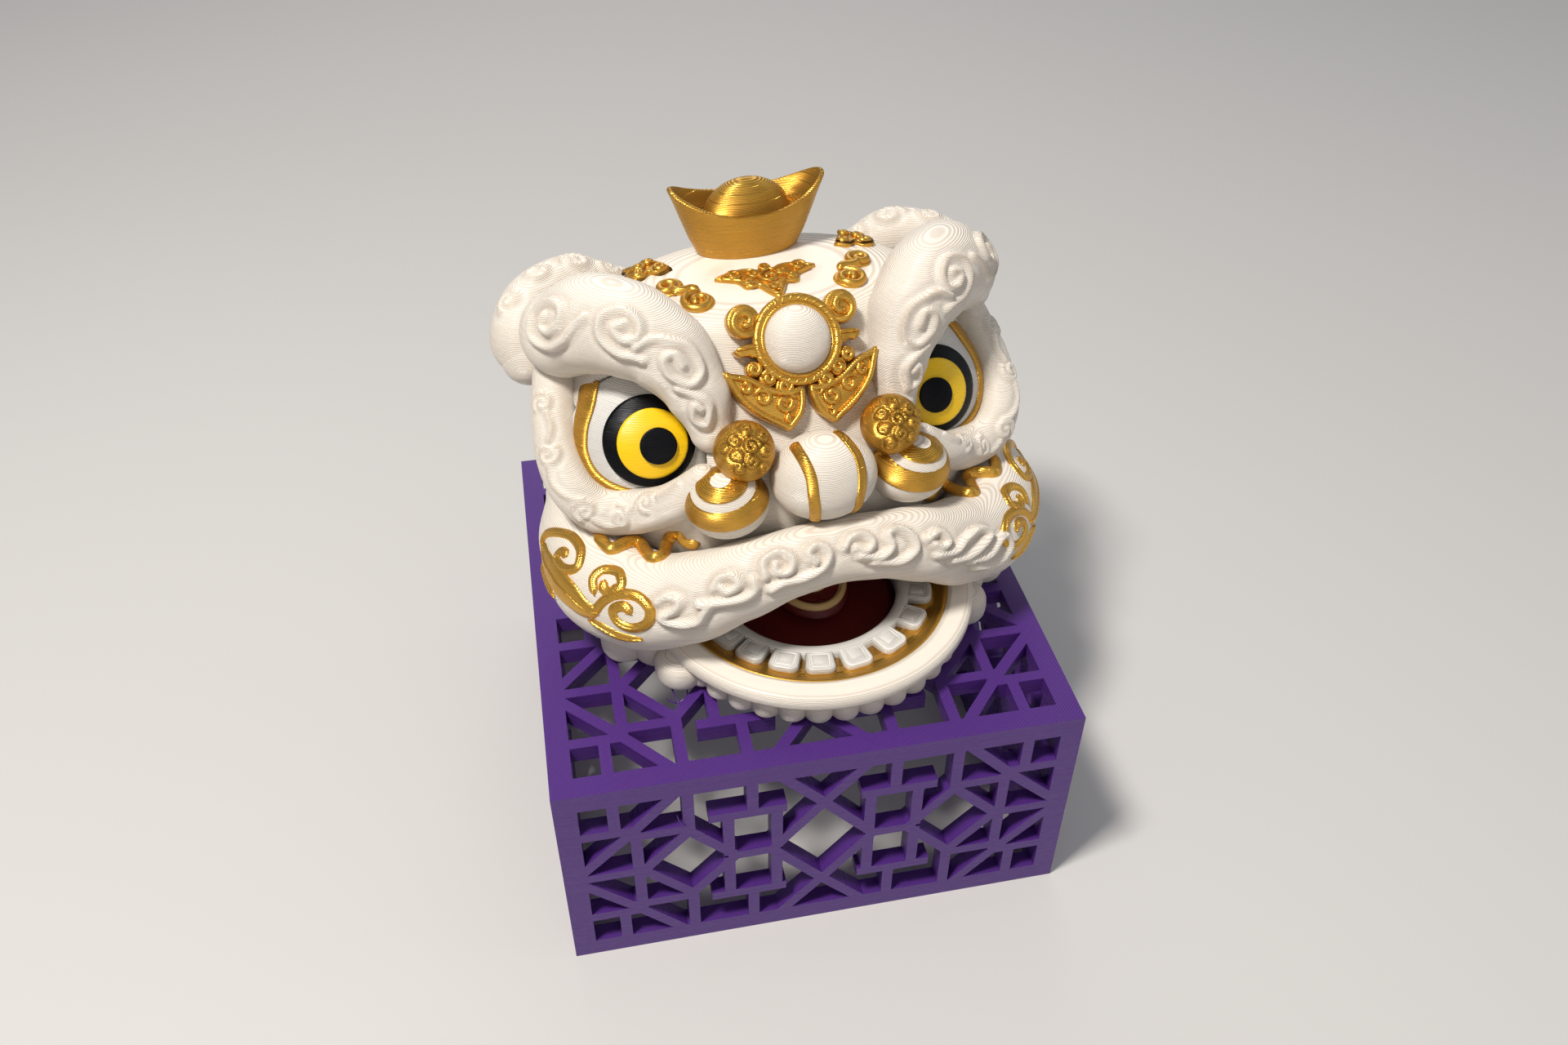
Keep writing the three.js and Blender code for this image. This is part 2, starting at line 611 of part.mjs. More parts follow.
function mouthLining() {
  const box = new THREE.BoxGeometry(head.width, head.depth, head.height);
  const front = box.clone().translate(0, mouthMiddle.y - head.depth / 2, head.height / 2);
  const below = box.clone().translate(0, 0, jaw.top + gap - head.height / 2);
  return cut(mouthHollow(-gap), [mouthHollow(-gap - mouth.wall), toSolid(front), toSolid(below), lip(gap)]);
}

const tongueMiddle = at(0, -0.125, 0.118);
const tongueBall = ball(tongueMiddle, [tongue.across, tongue.deep, tongue.tall]);

function tongueRing() {
  const outline = Array.from({ length: 7 }, (_, k) => {
    const turn = Math.PI + (Math.PI * k) / 6;
    return [tongue.across * 0.72 * Math.cos(turn), tongue.deep * 0.8 * Math.sin(turn)];
  });
  const band = prism(bandOutline(outline, tongue.band), planeFrame(tongueMiddle, acrossHead, zAxis), 0, 2 * seat);
  return band.intersect(tongueBall(gap + tongue.ring)).subtract(tongueBall(gap));
}

// Head: the scalloped foot that it stands on

// A row of round lobes along places, each bulging outwards from the middle point.
function scallops(places, middle, bulge, steps) {
  const outline = [];
  for (let i = 0; i < places.length - 1; i++) {
    for (let k = 0; k < steps; k++) {
      const t = k / steps;
      const spot = places[i].clone().lerp(places[i + 1], t);
      const outward = spot.clone().sub(middle).normalize();
      outline.push(spot.addScaledVector(outward, bulge * Math.sin(Math.PI * t)));
    }
  }
  return outline;
}

function ruffleRing() {
  const bowl = bowlRadius + jaw.wall;
  const row = skullSections[0];
  const middle = new THREE.Vector2(0, ((row.front + row.back) / 2) * head.depth);
  const reach = ((row.back - row.front) / 2) * head.depth;
  const front = new THREE.Vector2(jawMiddle.x, jawMiddle.y);
  const frontPlaces = Array.from({ length: ruffle.smallCount + 1 }, (_, i) => {
    const turn = Math.PI * (1.12 + (0.76 * i) / ruffle.smallCount);
    return new THREE.Vector2(Math.cos(turn), Math.sin(turn)).multiplyScalar(bowl + 2 * gap).add(front);
  });
  const backPlaces = Array.from({ length: ruffle.bigCount + 1 }, (_, i) => {
    const turn = Math.PI * (-0.13 + (1.26 * i) / ruffle.bigCount);
    return new THREE.Vector2(row.half * head.width * Math.cos(turn), middle.y + reach * Math.sin(turn));
  });
  const bridge = (from, to) => scallops([from, from.clone().lerp(to, 0.5), to], front, ruffle.bigBulge, 3);
  const outline = [
    ...scallops(frontPlaces, front, ruffle.smallBulge, 2),
    ...bridge(frontPlaces.at(-1), backPlaces[0]),
    ...scallops(backPlaces, middle, ruffle.bigBulge, 2),
    ...bridge(backPlaces.at(-1), frontPlaces[0]),
  ].map(({ x, y }) => [x, y]);
  const frame = planeFrame(new THREE.Vector3(0, 0, gap), acrossHead, zAxis);
  const ring = prism(outline, frame, 0, jaw.top - jaw.thick - 3 * gap);
  const skullFoot = skullSections[0].up * head.height;
  const above = new THREE.BoxGeometry(2 * head.width, 2 * head.depth, head.height);
  above.translate(0, 0, skullFoot - gap + head.height / 2);
  return cut(ring, [jawDish(gap), toSolid(above)]);
}

// Assembly

const whole = new THREE.Group();
const headGroup = new THREE.Group();
headGroup.rotation.z = head.turn;
headGroup.position.set(head.offset * Math.cos(head.turn), head.offset * Math.sin(head.turn), stand.height);
whole.add(headGroup);
whole.add(toMesh("stand", makeStand(), purple));

const sides = [["left", -1], ["right", 1]];
const add = (name, solid, material) => headGroup.add(toMesh(name, solid, material));

const both = (make, grow) => join([make(-1)(grow), make(1)(grow)]);
const mirrorBall = ball(ringMiddle.clone().addScaledVector(faceOut, -mirror.sunk), [mirror.ball, mirror.ball, mirror.ball]);
const ringRope = (grow = 0) =>
  toSolid(new THREE.TorusGeometry(mirror.ring, mirror.rope + grow, 5, 18).applyMatrix4(foreheadFrame));
const browClear = both(brow, gap);
const socketClear = both(socket, gap);
const nostrilClear = both(nostril, gap);
const cheekClear = both(cheek, gap);
const skullClear = skull(gap);
const lipClear = lip(gap);

add("skull", cut(skull(0), [eyeOpening(-1), eyeOpening(1), mouthHollow(0), jawDish(gap)]), ivory);
add("upper_lip", cut(lip(0), [skullClear, noseBall(gap), cheekClear, socketClear, jawDish(gap)]), ivory);
add("ruffle", ruffleRing(), ivory);

for (const [name, side] of sides) {
  const eyeClear = eyeball(side)(gap);
  const noseClear = [nostril(side)(gap), noseBall(gap)];
  add(`brow_${name}`, cut(brow(side)(0), [skullClear, eyeClear, nostril(side)(gap)]), ivory);
  add(`ear_${name}`, cut(ear(side)(0), [skullClear, brow(side)(gap), socket(side)(gap)]), ivory);
  const liner = eyeLinerRoll(side);
  const socketCuts = [skullClear, brow(side)(gap), eyeClear, cheek(side)(gap), ...noseClear, liner(gap)];
  add(`socket_${name}`, cut(socket(side)(0), socketCuts), ivory);
  add(`eyeball_${name}`, eyeball(side)(0), white);
  const high = gap + eye.relief;
  const hole = (layer, radius) => eyeCap(side, layer, radius + gap, -seat, 2 * seat);
  const shade = [brow(side)(gap), nostril(side)(gap)];
  const discClear = [eyeCap(side, "disc", eye.disc + gap, 0, 2 * seat)];
  add(`eye_disc_${name}`, cut(eyeCap(side, "disc", eye.disc, gap, high), [hole("iris", eye.iris), ...shade]), black);
  add(`iris_${name}`, cut(eyeCap(side, "iris", eye.iris, gap, high), [hole("pupil", eye.pupil), ...shade]), yellow);
  add(`pupil_${name}`, eyeCap(side, "pupil", eye.pupil, gap, gap + eye.pupilRelief), black);
  add(`eye_liner_${name}`, cut(liner(0), [eyeClear, skullClear, brow(side)(gap), ...discClear]), gold);
  add(`nostril_ball_${name}`, cut(nostril(side)(0), [skullClear, noseBall(gap)]), gold);
  add(`cheek_ball_${name}`, cut(cheek(side)(0), [skullClear, ...noseClear]), ivory);
  add(`nose_stripe_${name}`, cut(noseStripe(side), [nostril(side)(gap), cheek(side)(gap), lipClear]), gold);
  const scroll = join(cheekBands.map((line) =>
    prism(flip(bandOutline(line, cheekScroll.width), side), cheekFrame(side), seat, 5 * seat)));
  add(`cheek_scroll_${name}`, cut(raised(scroll, lip, cheekScroll.relief), [socketClear, skullClear]), gold);
  const wave = prism(flip(bandOutline(zigzagLine, zigzag.width), side), zigzagFrame(side), 3 * seat, 2 * seat);
  const face = (grow) => skull(grow).add(lip(grow));
  const waveCuts = [socketClear, cheekClear, scroll];
  add(`zigzag_${name}`, cut(raised(wave, face, zigzag.relief), waveCuts), gold);
}
add("nose", cut(noseBall(0), [skullClear]), ivory);

add("mirror_ball", mirrorBall(0).subtract(skullClear), white);
const ringCurls = (grow) =>
  sides.flatMap(([, side]) =>
    curlPlaces.map(({ across, up, radius }) => {
      const deep = ornament.relief + ornament.back;
      const disc = new THREE.CylinderGeometry(radius * 0.8 + grow, radius + grow, deep + grow, 9).rotateX(Math.PI / 2);
      disc.translate(side * across, up, (ornament.relief - ornament.back) / 2);
      return toSolid(disc.applyMatrix4(foreheadFrame));
    }),
  );
const horns = sides.map(([, side]) => prism(flip(hornOutline, -side), foreheadFrame, ornament.back, ornament.relief));
add("mirror_ring", cut(join([ringRope(0), ...ringCurls(0), ...horns]), [skullClear, browClear]), gold);
for (const [name, side] of sides) {
  const plate = prism(flip(wingOutline, side), foreheadFrame, ornament.back, ornament.relief);
  const clear = [skullClear, nostrilClear, noseBall(gap), browClear, ringRope(gap), ...ringCurls(gap)];
  add(`wing_${name}`, cut(plate, clear), gold);
}

const crownPlates = [["flower_centre", flowerOutline, [0, 0.145, 1]]];
for (const [name, side] of sides) {
  crownPlates.push([`flower_${name}`, flip(smallFlowerOutline, side), [0.205 * side, 0.282, 0.98]]);
  crownPlates.push([`scroll_${name}`, flip(scrollOutline, -side), [0.152 * side, 0.142, 0.99]]);
}
for (const [name, outline, place] of crownPlates) {
  const plate = prism(outline, crownFrame(at(...place)), 2 * seat, 2 * seat);
  add(name, cut(raised(plate, skull, ornament.relief), [browClear, both(ear, gap), ringRope(gap)]), gold);
}

add("ingot", cut(ingotBody(ingotMiddle), [skull(gap), ingotDome(gap)]), gold);
add("ingot_dome", cut(ingotDome(0), [skull(gap)]), gold);

add("jaw", jawDish(0), ivory);
add("gum_band", gumBand, gold);
add("teeth", teethRow(), white);
add("mouth_floor", mouthFloor(), maroon);
add("mouth_lining", mouthLining(), maroon);
const underTongue = new THREE.BoxGeometry(head.width, head.depth, head.height);
underTongue.translate(0, 0, bowlFloor + mouth.floor + gap - head.height / 2);
add("tongue", cut(tongueBall(0), [toSolid(underTongue)]), maroon);
add("tongue_ring", tongueRing(), gold);

// The origin goes under the middle of the whole.
whole.updateMatrixWorld(true);
const bounds = new THREE.Box3().setFromObject(whole, true);
const middle = bounds.getCenter(new THREE.Vector3());
const part = new THREE.Group();
whole.position.set(-middle.x, -middle.y, -bounds.min.z);
part.add(whole);

export default part;
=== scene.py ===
"""Dresses a small printed lion dance head on its pierced box: shapes, finishes, stage and camera."""

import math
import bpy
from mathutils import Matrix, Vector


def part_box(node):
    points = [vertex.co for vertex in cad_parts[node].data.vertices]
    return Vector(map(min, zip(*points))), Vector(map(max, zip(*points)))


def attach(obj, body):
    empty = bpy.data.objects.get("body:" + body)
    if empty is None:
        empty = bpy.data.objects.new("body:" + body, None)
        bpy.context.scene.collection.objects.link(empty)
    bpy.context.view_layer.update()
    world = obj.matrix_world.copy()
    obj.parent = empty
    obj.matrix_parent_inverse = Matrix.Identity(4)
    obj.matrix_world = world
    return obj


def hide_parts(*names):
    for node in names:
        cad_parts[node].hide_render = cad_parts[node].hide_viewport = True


bl_info = {
    "name": "Printed lion dance head",
    "version": (1, 0, 0),
    "blender": (4, 5, 0),
    "location": "View3D > Sidebar > Lion head",
    "description": "Dresses the solid lion dance head with its relief, printed finishes and stage",
    "category": "Object",
}

import bmesh
import bpy
import numpy as np
from mathutils import Matrix, Vector
from mathutils.bvhtree import BVHTree
from mathutils.kdtree import KDTree

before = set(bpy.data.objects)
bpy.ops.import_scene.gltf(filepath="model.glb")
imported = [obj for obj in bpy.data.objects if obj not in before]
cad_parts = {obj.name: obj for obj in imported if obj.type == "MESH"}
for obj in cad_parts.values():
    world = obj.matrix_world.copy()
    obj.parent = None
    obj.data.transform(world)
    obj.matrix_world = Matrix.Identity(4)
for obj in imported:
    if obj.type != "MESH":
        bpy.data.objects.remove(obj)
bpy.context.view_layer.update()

# The frame that the head's own sizes are given in: millimetres, turned and set off on the box's lid.
MM = 0.001
STAND_LOW, STAND_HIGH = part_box("stand")
STAND_MIDDLE = (STAND_LOW + STAND_HIGH) / 2
STAND_TOP = STAND_HIGH.z
HEAD_TURN = math.radians(6.3)
HEAD_OFFSET = 3.6
HEAD_WIDTH, HEAD_DEPTH, HEAD_HEIGHT = 100.0, 90.0, 62.0
HEAD = (
    Matrix.Translation((STAND_MIDDLE.x, STAND_MIDDLE.y, STAND_TOP))
    @ Matrix.Rotation(HEAD_TURN, 4, "Z")
    @ Matrix.Scale(MM, 4)
    @ Matrix.Translation((HEAD_OFFSET, 0, 0))
)
FACE_OUT = np.array((0, -0.79, 0.613)) / np.linalg.norm((0, -0.79, 0.613))
FACE_UP = np.array((0, 0.613, 0.79)) / np.linalg.norm((0, 0.613, 0.79))
SIDES = (("left", -1), ("right", 1))


def at(across, back, up):
    """A place on the head from shares of its width, depth and height."""
    return np.array((across * HEAD_WIDTH, back * HEAD_DEPTH, up * HEAD_HEIGHT))


# Middle lines of the rolls on the right half of the face, as shares, with the radius in millimetres.
BROW_LINE = (
    ((0.178, -0.085, 0.745), 4), ((0.192, -0.045, 0.845), 5.9), ((0.232, 0.014, 0.945), 7.8),
    ((0.29, 0.075, 0.985), 8.8), ((0.345, 0.135, 0.97), 9.2), ((0.39, 0.18, 0.915), 8.4),
)
EAR_LINE = (
    ((0.25, 0.42, 0.83), 4.6), ((0.344, 0.415, 0.875), 6), ((0.425, 0.365, 0.86), 6.2),
    ((0.462, 0.29, 0.815), 6), ((0.455, 0.26, 0.775), 5.4),
)
SOCKET_LINE = (
    ((0.42, 0.175, 0.765), 4.2), ((0.437, 0.112, 0.693), 4.2), ((0.444, 0.04, 0.61), 4.2),
    ((0.43, -0.02, 0.545), 4.2), ((0.39, -0.055, 0.495), 4.3), ((0.33, -0.085, 0.5), 4.2),
    ((0.265, -0.132, 0.565), 3.7), ((0.212, -0.15, 0.64), 3.3),
)
LIP_HALF = (
    ((0.395, 0.15, 0.33), 7.4), ((0.41, 0.03, 0.285), 9.4), ((0.4, -0.09, 0.265), 10),
    ((0.345, -0.18, 0.272), 9.55), ((0.265, -0.24, 0.32), 8.5), ((0.18, -0.275, 0.39), 7.3),
    ((0.085, -0.285, 0.435), 6.3),
)
LIP_LINE = tuple(((-p[0], p[1], p[2]), r) for p, r in LIP_HALF) + (((0, -0.285, 0.447), 6),) + LIP_HALF[::-1]

# Raised lines on the rolls: millimetres along the roll, and degrees round it.
BROW_RELIEF = (
    ((28.4, 36), (30.2, 22), (32.6, 8), (36.8, 6), (40, 24), (38.9, 52), (34.8, 58), (32.4, 44), (32.8, 28),
     (35.2, 22), (36.6, 32), (35.6, 42)),
    ((17.6, 16), (19.6, 12), (21.9, 8), (25.1, 18), (25.9, 42), (23.6, 58), (21, 52), (20.2, 36), (22, 26),
     (23.8, 34), (22.8, 43)),
    ((19.8, 24), (18.4, 44), (16.4, 58), (13.6, 76), (10.4, 76), (9.4, 50), (12.6, 30), (15, 36), (14.6, 52),
     (12.6, 54)),
    ((10, 28), (7.6, 48), (4.8, 72), (2, 60), (3.4, 38), (6, 44), (5, 56)),
)
LIP_RELIEF = (
    ((39.9, 39), (41.8, 44), (44.2, 36), (42.7, 27), (39.9, 20), (42.4, 9), (45.8, 7), (47.3, 16),
     (48.9, 24)),
    ((49.8, 42), (51.3, 54), (52.9, 53), (53.5, 39), (51.6, 33), (51, 42)),
    ((47, 27), (49.8, 22), (53.2, 18), (55.3, 24), (55.6, 38)),
    ((57.5, 38), (58.1, 60), (60.9, 66), (62.4, 48), (61.2, 32), (59.3, 38), (59.6, 50)),
    ((57.6, 16), (60, 18), (63, 14), (66.7, 22), (68.3, 44), (66.7, 60), (64.9, 50), (65.8, 34)),
    ((71.2, 46), (72.4, 58), (74.4, 63), (76, 48), (74.8, 34), (73, 42)),
    ((73.8, 27), (77.2, 21), (79.1, 36), (78.8, 57), (80.6, 64), (82.8, 51), (83.4, 29), (80.6, 10),
     (76, 14)),
    ((85.5, 44), (87.7, 53), (89.2, 38), (88, 30), (86.5, 36)),
    ((87.4, 20), (90.5, 22), (92.6, 38), (96, 48), (98.8, 40), (96.3, 26), (92.9, 12), (90.5, 9)),
    ((94.5, 7), (98.5, 12), (101.6, 27), (103.4, 29), (104.3, 14), (101.6, -4), (96, -3)),
)
GOLD_SCROLLS = (
    ((12.9, 18), (12.2, 30), (13.7, 46), (17.7, 66), (21.6, 66), (23.3, 51), (21.7, 39), (19, 38), (19, 48),
     (20.8, 51)),
    ((28.5, 34), (26.9, 51), (27.8, 64), (31.3, 68), (33, 56), (31.5, 44), (29.4, 46), (29.4, 55)),
    ((28.5, 12), (30.4, 34), (33.4, 46), (36.5, 45), (38.2, 30), (37.3, 14), (34.7, 8), (32.8, 14),
     (32.2, 26), (34, 33), (35.4, 25)),
    ((33.2, 46), (32.2, 50), (31.4, 44)),
)
GOLD_LEAVES = (  # each with the most that it widens
    (((13, 24), (16.2, 19), (20, 21), (23.9, 20), (27, 15), (29.8, 17)), 2.3),
    (((27.8, 4), (30, -1), (32.6, -7), (36, -8)), 0.9),
    (((15.6, 6), (18.6, 0), (21.6, -2)), 0.7),
)

# Curls on rolls: place along the roll, degrees round it, radius and start in degrees.
EAR_CURLS = ((9.5, 78, 2.6, 20), (16.4, 92, 2.2, 200), (23.4, 108, 2.4, 30), (3.2, 84, 2, 190))
SOCKET_CURLS = ((6.1, 112, 2.1, 60), (15.5, 124, 2.2, 250), (26.4, 154, 2.3, 90), (33.6, 155, 2.2, 270),
    (41, 126, 2, 100))
SOCKET_LINKS = (
    ((8, 104), (10.8, 96), (13.4, 110)), ((17.6, 134), (20.6, 150), (23.4, 146), (25, 132)),
    ((28.8, 166), (31, 176), (33.4, 172)), ((36, 148), (38.2, 136), (39, 124)),
    ((43.4, 122), (46, 116), (48, 108)),
)

WAVY_LINE = (  # places on the left of the face under the eye, in millimetres
    (-40.6, -6.6, 27.2), (-39.8, -9.6, 26.9), (-38.7, -11.7, 26.7), (-36.8, -11.2, 26.7), (-35, -10.4, 26.4),
    (-33.4, -10.4, 26), (-32.8, -13.6, 26.4), (-32, -16.8, 27.1), (-30.4, -16.8, 27.1), (-28.9, -13.6, 26.2),
    (-28, -12, 26.2), (-27, -12, 27.6), (-26, -12.6, 28), (-25.3, -12.9, 26.6), (-24.2, -13.6, 25.9),
    (-22.5, -14.3, 26),
)

SKULL_SECTIONS = (  # up, half width, front and back, as shares
    (0.1, 0.0, 0.16, 0.16), (0.1, 0.36, -0.13, 0.46), (0.2, 0.395, -0.14, 0.49), (0.4, 0.42, -0.205, 0.505),
    (0.58, 0.425, -0.2, 0.505), (0.72, 0.407, -0.127, 0.485), (0.84, 0.37, -0.062, 0.46),
    (0.92, 0.327, -0.02, 0.43), (0.97, 0.27, 0.012, 0.395), (0.995, 0.185, 0.065, 0.33), (1.0, 0.0, 0.2, 0.2),
)
SQUARENESS = 2 / 2.15

EYE_BALL, EYE_OPENING = 17.5, 13.2
EYE_BACK = math.sqrt(EYE_BALL**2 - EYE_OPENING**2) - 1.6
EYE_LOOKS = {"pupil": (0, 0), "iris": (0.052, 0.025), "disc": (0.086, 0.057), "opening": (0.28, -0.02)}
LINER_LINE = (  # directions from the left eye's middle, and half the band's width in millimetres
    (-0.56, -0.02, 0.83, 2.4), (-0.68, -0.27, 0.69, 2.3), (-0.78, -0.4, 0.49, 1.9), (-0.81, -0.53, 0.27, 1.5),
    (-0.745, -0.66, 0.09, 1.25), (-0.63, -0.775, -0.01, 1.1), (-0.46, -0.88, -0.07, 1),
    (-0.3, -0.945, -0.1, 0.9),
)

EYE_ROUNDS = (  # look, piece, node, finish, radius, lowest and highest over the ball
    ("disc", "eye_round", "eye_disc", "black", 8.4, 0.05, 0.55),
    ("iris", "iris_round", "iris", "yellow", 6.3, 0.3, 0.85),
    ("pupil", "pupil_round", "pupil", "black", 3.2, 0.4, 1.45),
)

NOSE_MIDDLE, NOSE_HALF = at(0, -0.208, 0.65), np.array((9.9, 8.4, 8.0))
GOLD_BALL = 5.55
GOLD_BALL_CURLS = (  # across, up, radius as shares of the ball, and start in degrees
    (-0.05, 0.12, 0.26, 0), (0.42, 0.36, 0.16, 90), (-0.5, 0.38, 0.15, 200), (0.48, -0.1, 0.16, 300),
    (-0.52, -0.12, 0.15, 30), (0.0, -0.36, 0.2, 120), (-0.02, 0.66, 0.14, 60), (0.74, 0.18, 0.09, 10),
    (0.4, -0.56, 0.1, 80), (-0.36, -0.62, 0.12, 250),
)
CHEEK_HALF = np.array((7.9, 7.4, 6.6))
CHEEK_GOLD = ((13, 37), (51, 87))  # the gold bands, in degrees from the ball's top
NOSE_STRIPES = {  # directions from the nose's middle
    -1: (
        (-0.52, 0.28, 0.81), (-0.53, 0.03, 0.85), (-0.49, -0.36, 0.79), (-0.45, -0.68, 0.58),
        (-0.45, -0.85, 0.26), (-0.42, -0.89, -0.18), (-0.37, -0.74, -0.55), (-0.33, -0.58, -0.74),
    ),
    1: (
        (0.3, 0.32, 0.9), (0.34, 0.11, 0.93), (0.41, -0.17, 0.89), (0.49, -0.45, 0.75), (0.5, -0.68, 0.53),
        (0.47, -0.85, 0.22), (0.43, -0.9, -0.13), (0.43, -0.77, -0.47), (0.4, -0.6, -0.69),
    ),
}
RING_MIDDLE = at(0, -0.026, 0.952)
RING_REACH, RING_CORD = 7.55, 0.85
ROPE_TURNS = 30
# Curls on the gold: across, up, radius and start in degrees.
RING_CURLS = ((9.2, 4.7, 2.9, 215), (8.9, -4, 1.25, 120), (6.7, -6, 1.45, 20), (3.9, -7.9, 1.5, 160))
HORN_CREST = ((7, 0), (8.6, 0.1), (10.2, 0), (11.6, -0.2))
WING_CURLS = (  # the same, with their turns
    (4.6, -10.9, 1.6, 150, 1.15), (8.3, -9.3, 1.7, 20, 1.15), (4, -13.6, 0.8, 240, 0.8),
    (11.1, -7.2, 1.05, 60, 1),
)
WING_LEAF = ((2.2, -10.6, 0), (3.6, -9, 0), (6.4, -8.6, 0), (9, -7.2, 0))
FLOWER_CURLS = (
    (0, 1.2, 2.1, 90), (-6.4, 3.6, 1.5, 200), (6.4, 3.6, 1.5, 340), (-2.6, 2.6, 1.2, 30),
    (2.7, 2.6, 1.2, 150), (0, -2.4, 1.3, 270), (-4.2, 0.6, 1, 120), (4.2, 0.6, 1, 60), (0, 4.4, 1.1, 0),
)
SMALL_CURLS = ((-2.2, -0.8, 1.2, 20), (2, -0.8, 1.2, 160), (1.4, 1.6, 1.2, 250), (-0.8, 3, 1, 90))
CROWN_SCROLLS = ((-0.6, -2, 3.1, 100), (3.6, 4.2, 2.5, 260))
CROWN_BRIDGE = ((-1.6, 1, 0), (-0.4, 2.2, 0), (1.2, 2.2, 0), (2.4, 2.6, 0), (3.2, 4, 0))
WING_OUTLINE = (
    (0.4, -8.2), (0.5, -10.8), (1.4, -13.4), (3, -15), (4.4, -16), (6, -15), (7.8, -13.9), (9.8, -12.4),
    (11.6, -10.6), (13, -8.6), (13.9, -6.4), (14.8, -3.5), (12.9, -4.2), (10.9, -4.7), (9, -5.8), (6.6, -7.6),
    (3.4, -8.6),
)
HORN_OUTLINE = (
    (6.6, 0.6), (8.6, 0.5), (10.2, 0.2), (12, -0.4), (11, -1.6), (9.6, -1.5), (8.6, -2), (6.8, -2))
FLOWER_HALF = (
    (0, 6.3), (1.8, 4.6), (3.4, 5.6), (6.2, 5.7), (8.2, 5), (10, 3.8),
    (8, 2.6), (6.2, 1.6), (5, -1), (3, -0.8), (1.6, -3.4), (0, -5.6),
)
SMALL_FLOWER = (
    (-4.2, -1.4), (-1.6, -2.6), (0.2, -1.2), (2, -2.6), (4, -1.8), (4.4, 1.2),
    (2.4, 2.2), (4.4, 4.6), (1.6, 3.6), (-0.6, 5.2), (-2.2, 2.6),
)
INGOT_MIDDLE = at(0, 0.322, 0.98)
INGOT_SECTIONS = (  # length, width, height and rise of the ends
    (0, 0, 0, 0), (17.4, 9.4, 0, 0), (18.8, 10, 0.3, 0), (20.8, 11, 1.5, 0.1), (23.6, 12.1, 3.7, 0.9),
    (26.4, 12.9, 6.2, 2.3), (28.9, 13.2, 8.4, 3.7), (30.8, 13.4, 10.1, 4.4), (31, 13.4, 10.3, 4.55),
    (30.7, 13.1, 10.5, 4.6), (29.6, 12, 10.4, 4.85), (29, 11.4, 10, 4.7), (26.6, 10.6, 8.6, 3.6),
    (23, 9.4, 7.5, 2.2), (12, 5, 7.4, 0), (0, 0, 7.4, 0),
)
DOME_HALF, DOME_TOP = np.array((8.96, 4.9, 8.0)), 15.4

JAW_MIDDLE = at(0, -0.141, 0)
JAW_PROFILE = (
    (0, 1), (24.6, 1), (26.2, 1.3), (27, 2.6), (27.2, 5.2), (29.2, 5.9), (31.4, 6.1), (32.3, 6.6),
    (32.5, 7.3), (32.4, 8.4), (31.8, 9.1), (31, 9.3), (28.6, 9.3), (27.7, 9.1), (27.2, 8.4), (27.1, 3.2),
    (0, 3.2),
)
GUM_PROFILE = ((19.6, 3.5), (27.2, 3.5), (27.3, 8.9), (26.4, 8.3), (24.6, 7.6), (19.6, 6.8))
FLOOR_PROFILE = ((0, 3.5), (17, 3.5), (17.1, 4.5), (15.5, 4.7), (0, 4.7))
TOOTH_RING_PROFILE = ((17.4, 3.5), (19.9, 3.5), (19.9, 8.2), (19.5, 8.6), (18, 8.6), (17.4, 8))
TOOTH_SIZE, TOOTH_REACH, TOOTH_UP = (5.5, 5.7, 2.4), 21.6, 7.35
TOOTH_ANGLES = (189, 205.5, 221.5, 239, 256.5, 275, 296, 317, 337, 354)
TONGUE_MIDDLE, TONGUE_HALF = at(0, -0.125, 0.118), np.array((7.8, 10.8, 3.0))
MOUTH_MIDDLE, MOUTH_HALF = at(0, -0.14, 0.16), np.array((25.0, 19.0, 17.0))

# Lobes of the ruffle: reach along, across and up. Those at the jaw's sides stand at places.
JAW_LOBE, SIDE_LOBE, NECK_LOBE = (3.3, 3.0, 2.3), (4.6, 5.1, 3.4), (4.6, 3.5, 2.6)
JAW_LOBES, NECK_LOBES = 18, 22
SIDE_LOBES = ((29.6, -22.4), (32.4, -14.8), (38, -12))

THREADS = (  # stray printed threads on the box, in millimetres of the whole part, with their radius
    (((-27.4, -26.2, 49.1), (-27, -28.6, 49.6), (-26.4, -31.4, 49.4), (-25.8, -33.6, 48.6)), 0.16),
    (((-24.2, -27.4, 49), (-24.6, -30, 49.4), (-25.6, -32.2, 48.8)), 0.16),
    (((-28.6, -29.4, 49), (-26.6, -30.2, 48.2), (-24.4, -29.6, 49)), 0.16),
    (((-29.8, -50.1, 40.2), (-29.4, -50.3, 38.4), (-28.6, -50.1, 36.8), (-27.6, -49.8, 36.2)), 0.12),
)
LID_THICK, WALL_THICK = 3.6 * MM, 3.7 * MM

LAYER = 0.22 * MM
TURN_SCALE = 0.16  # millimetres along a roll's surface for one degree round it

# The stage. Lights: name, place, watts, size and colour. The camera's place is in millimetres from the
# box's middle.
LIGHTS = (
    ("high key", (-0.28, -0.18, 0.76), 6.3, 0.12, (1, 0.965, 0.92)),
    ("front fill", (0.1, -0.9, 0.5), 1.2, 0.7, (1, 0.98, 0.95)),
    ("right fill", (0.8, -0.1, 0.4), 0.7, 0.6, (0.9, 0.94, 1)),
    ("rear rim", (0.1, 0.9, 0.6), 1.3, 0.6, (1, 1, 1)),
)
LIGHTS_FACE = (0, 0, 0.06)
FLOOR_COLOUR, ROOM_COLOUR, ROOM_STRENGTH = (0.62, 0.6, 0.57, 1), (0.86, 0.9, 1, 1), 0.27
LENS, SENSOR = 30.13, 36
CAMERA_PLACE = (-39.789, -199.622, 236.444)
CAMERA_RIGHT = (0.97975146, -0.20010152, 0.00681677)
CAMERA_DOWN = (-0.12414642, -0.63386166, -0.76341802)
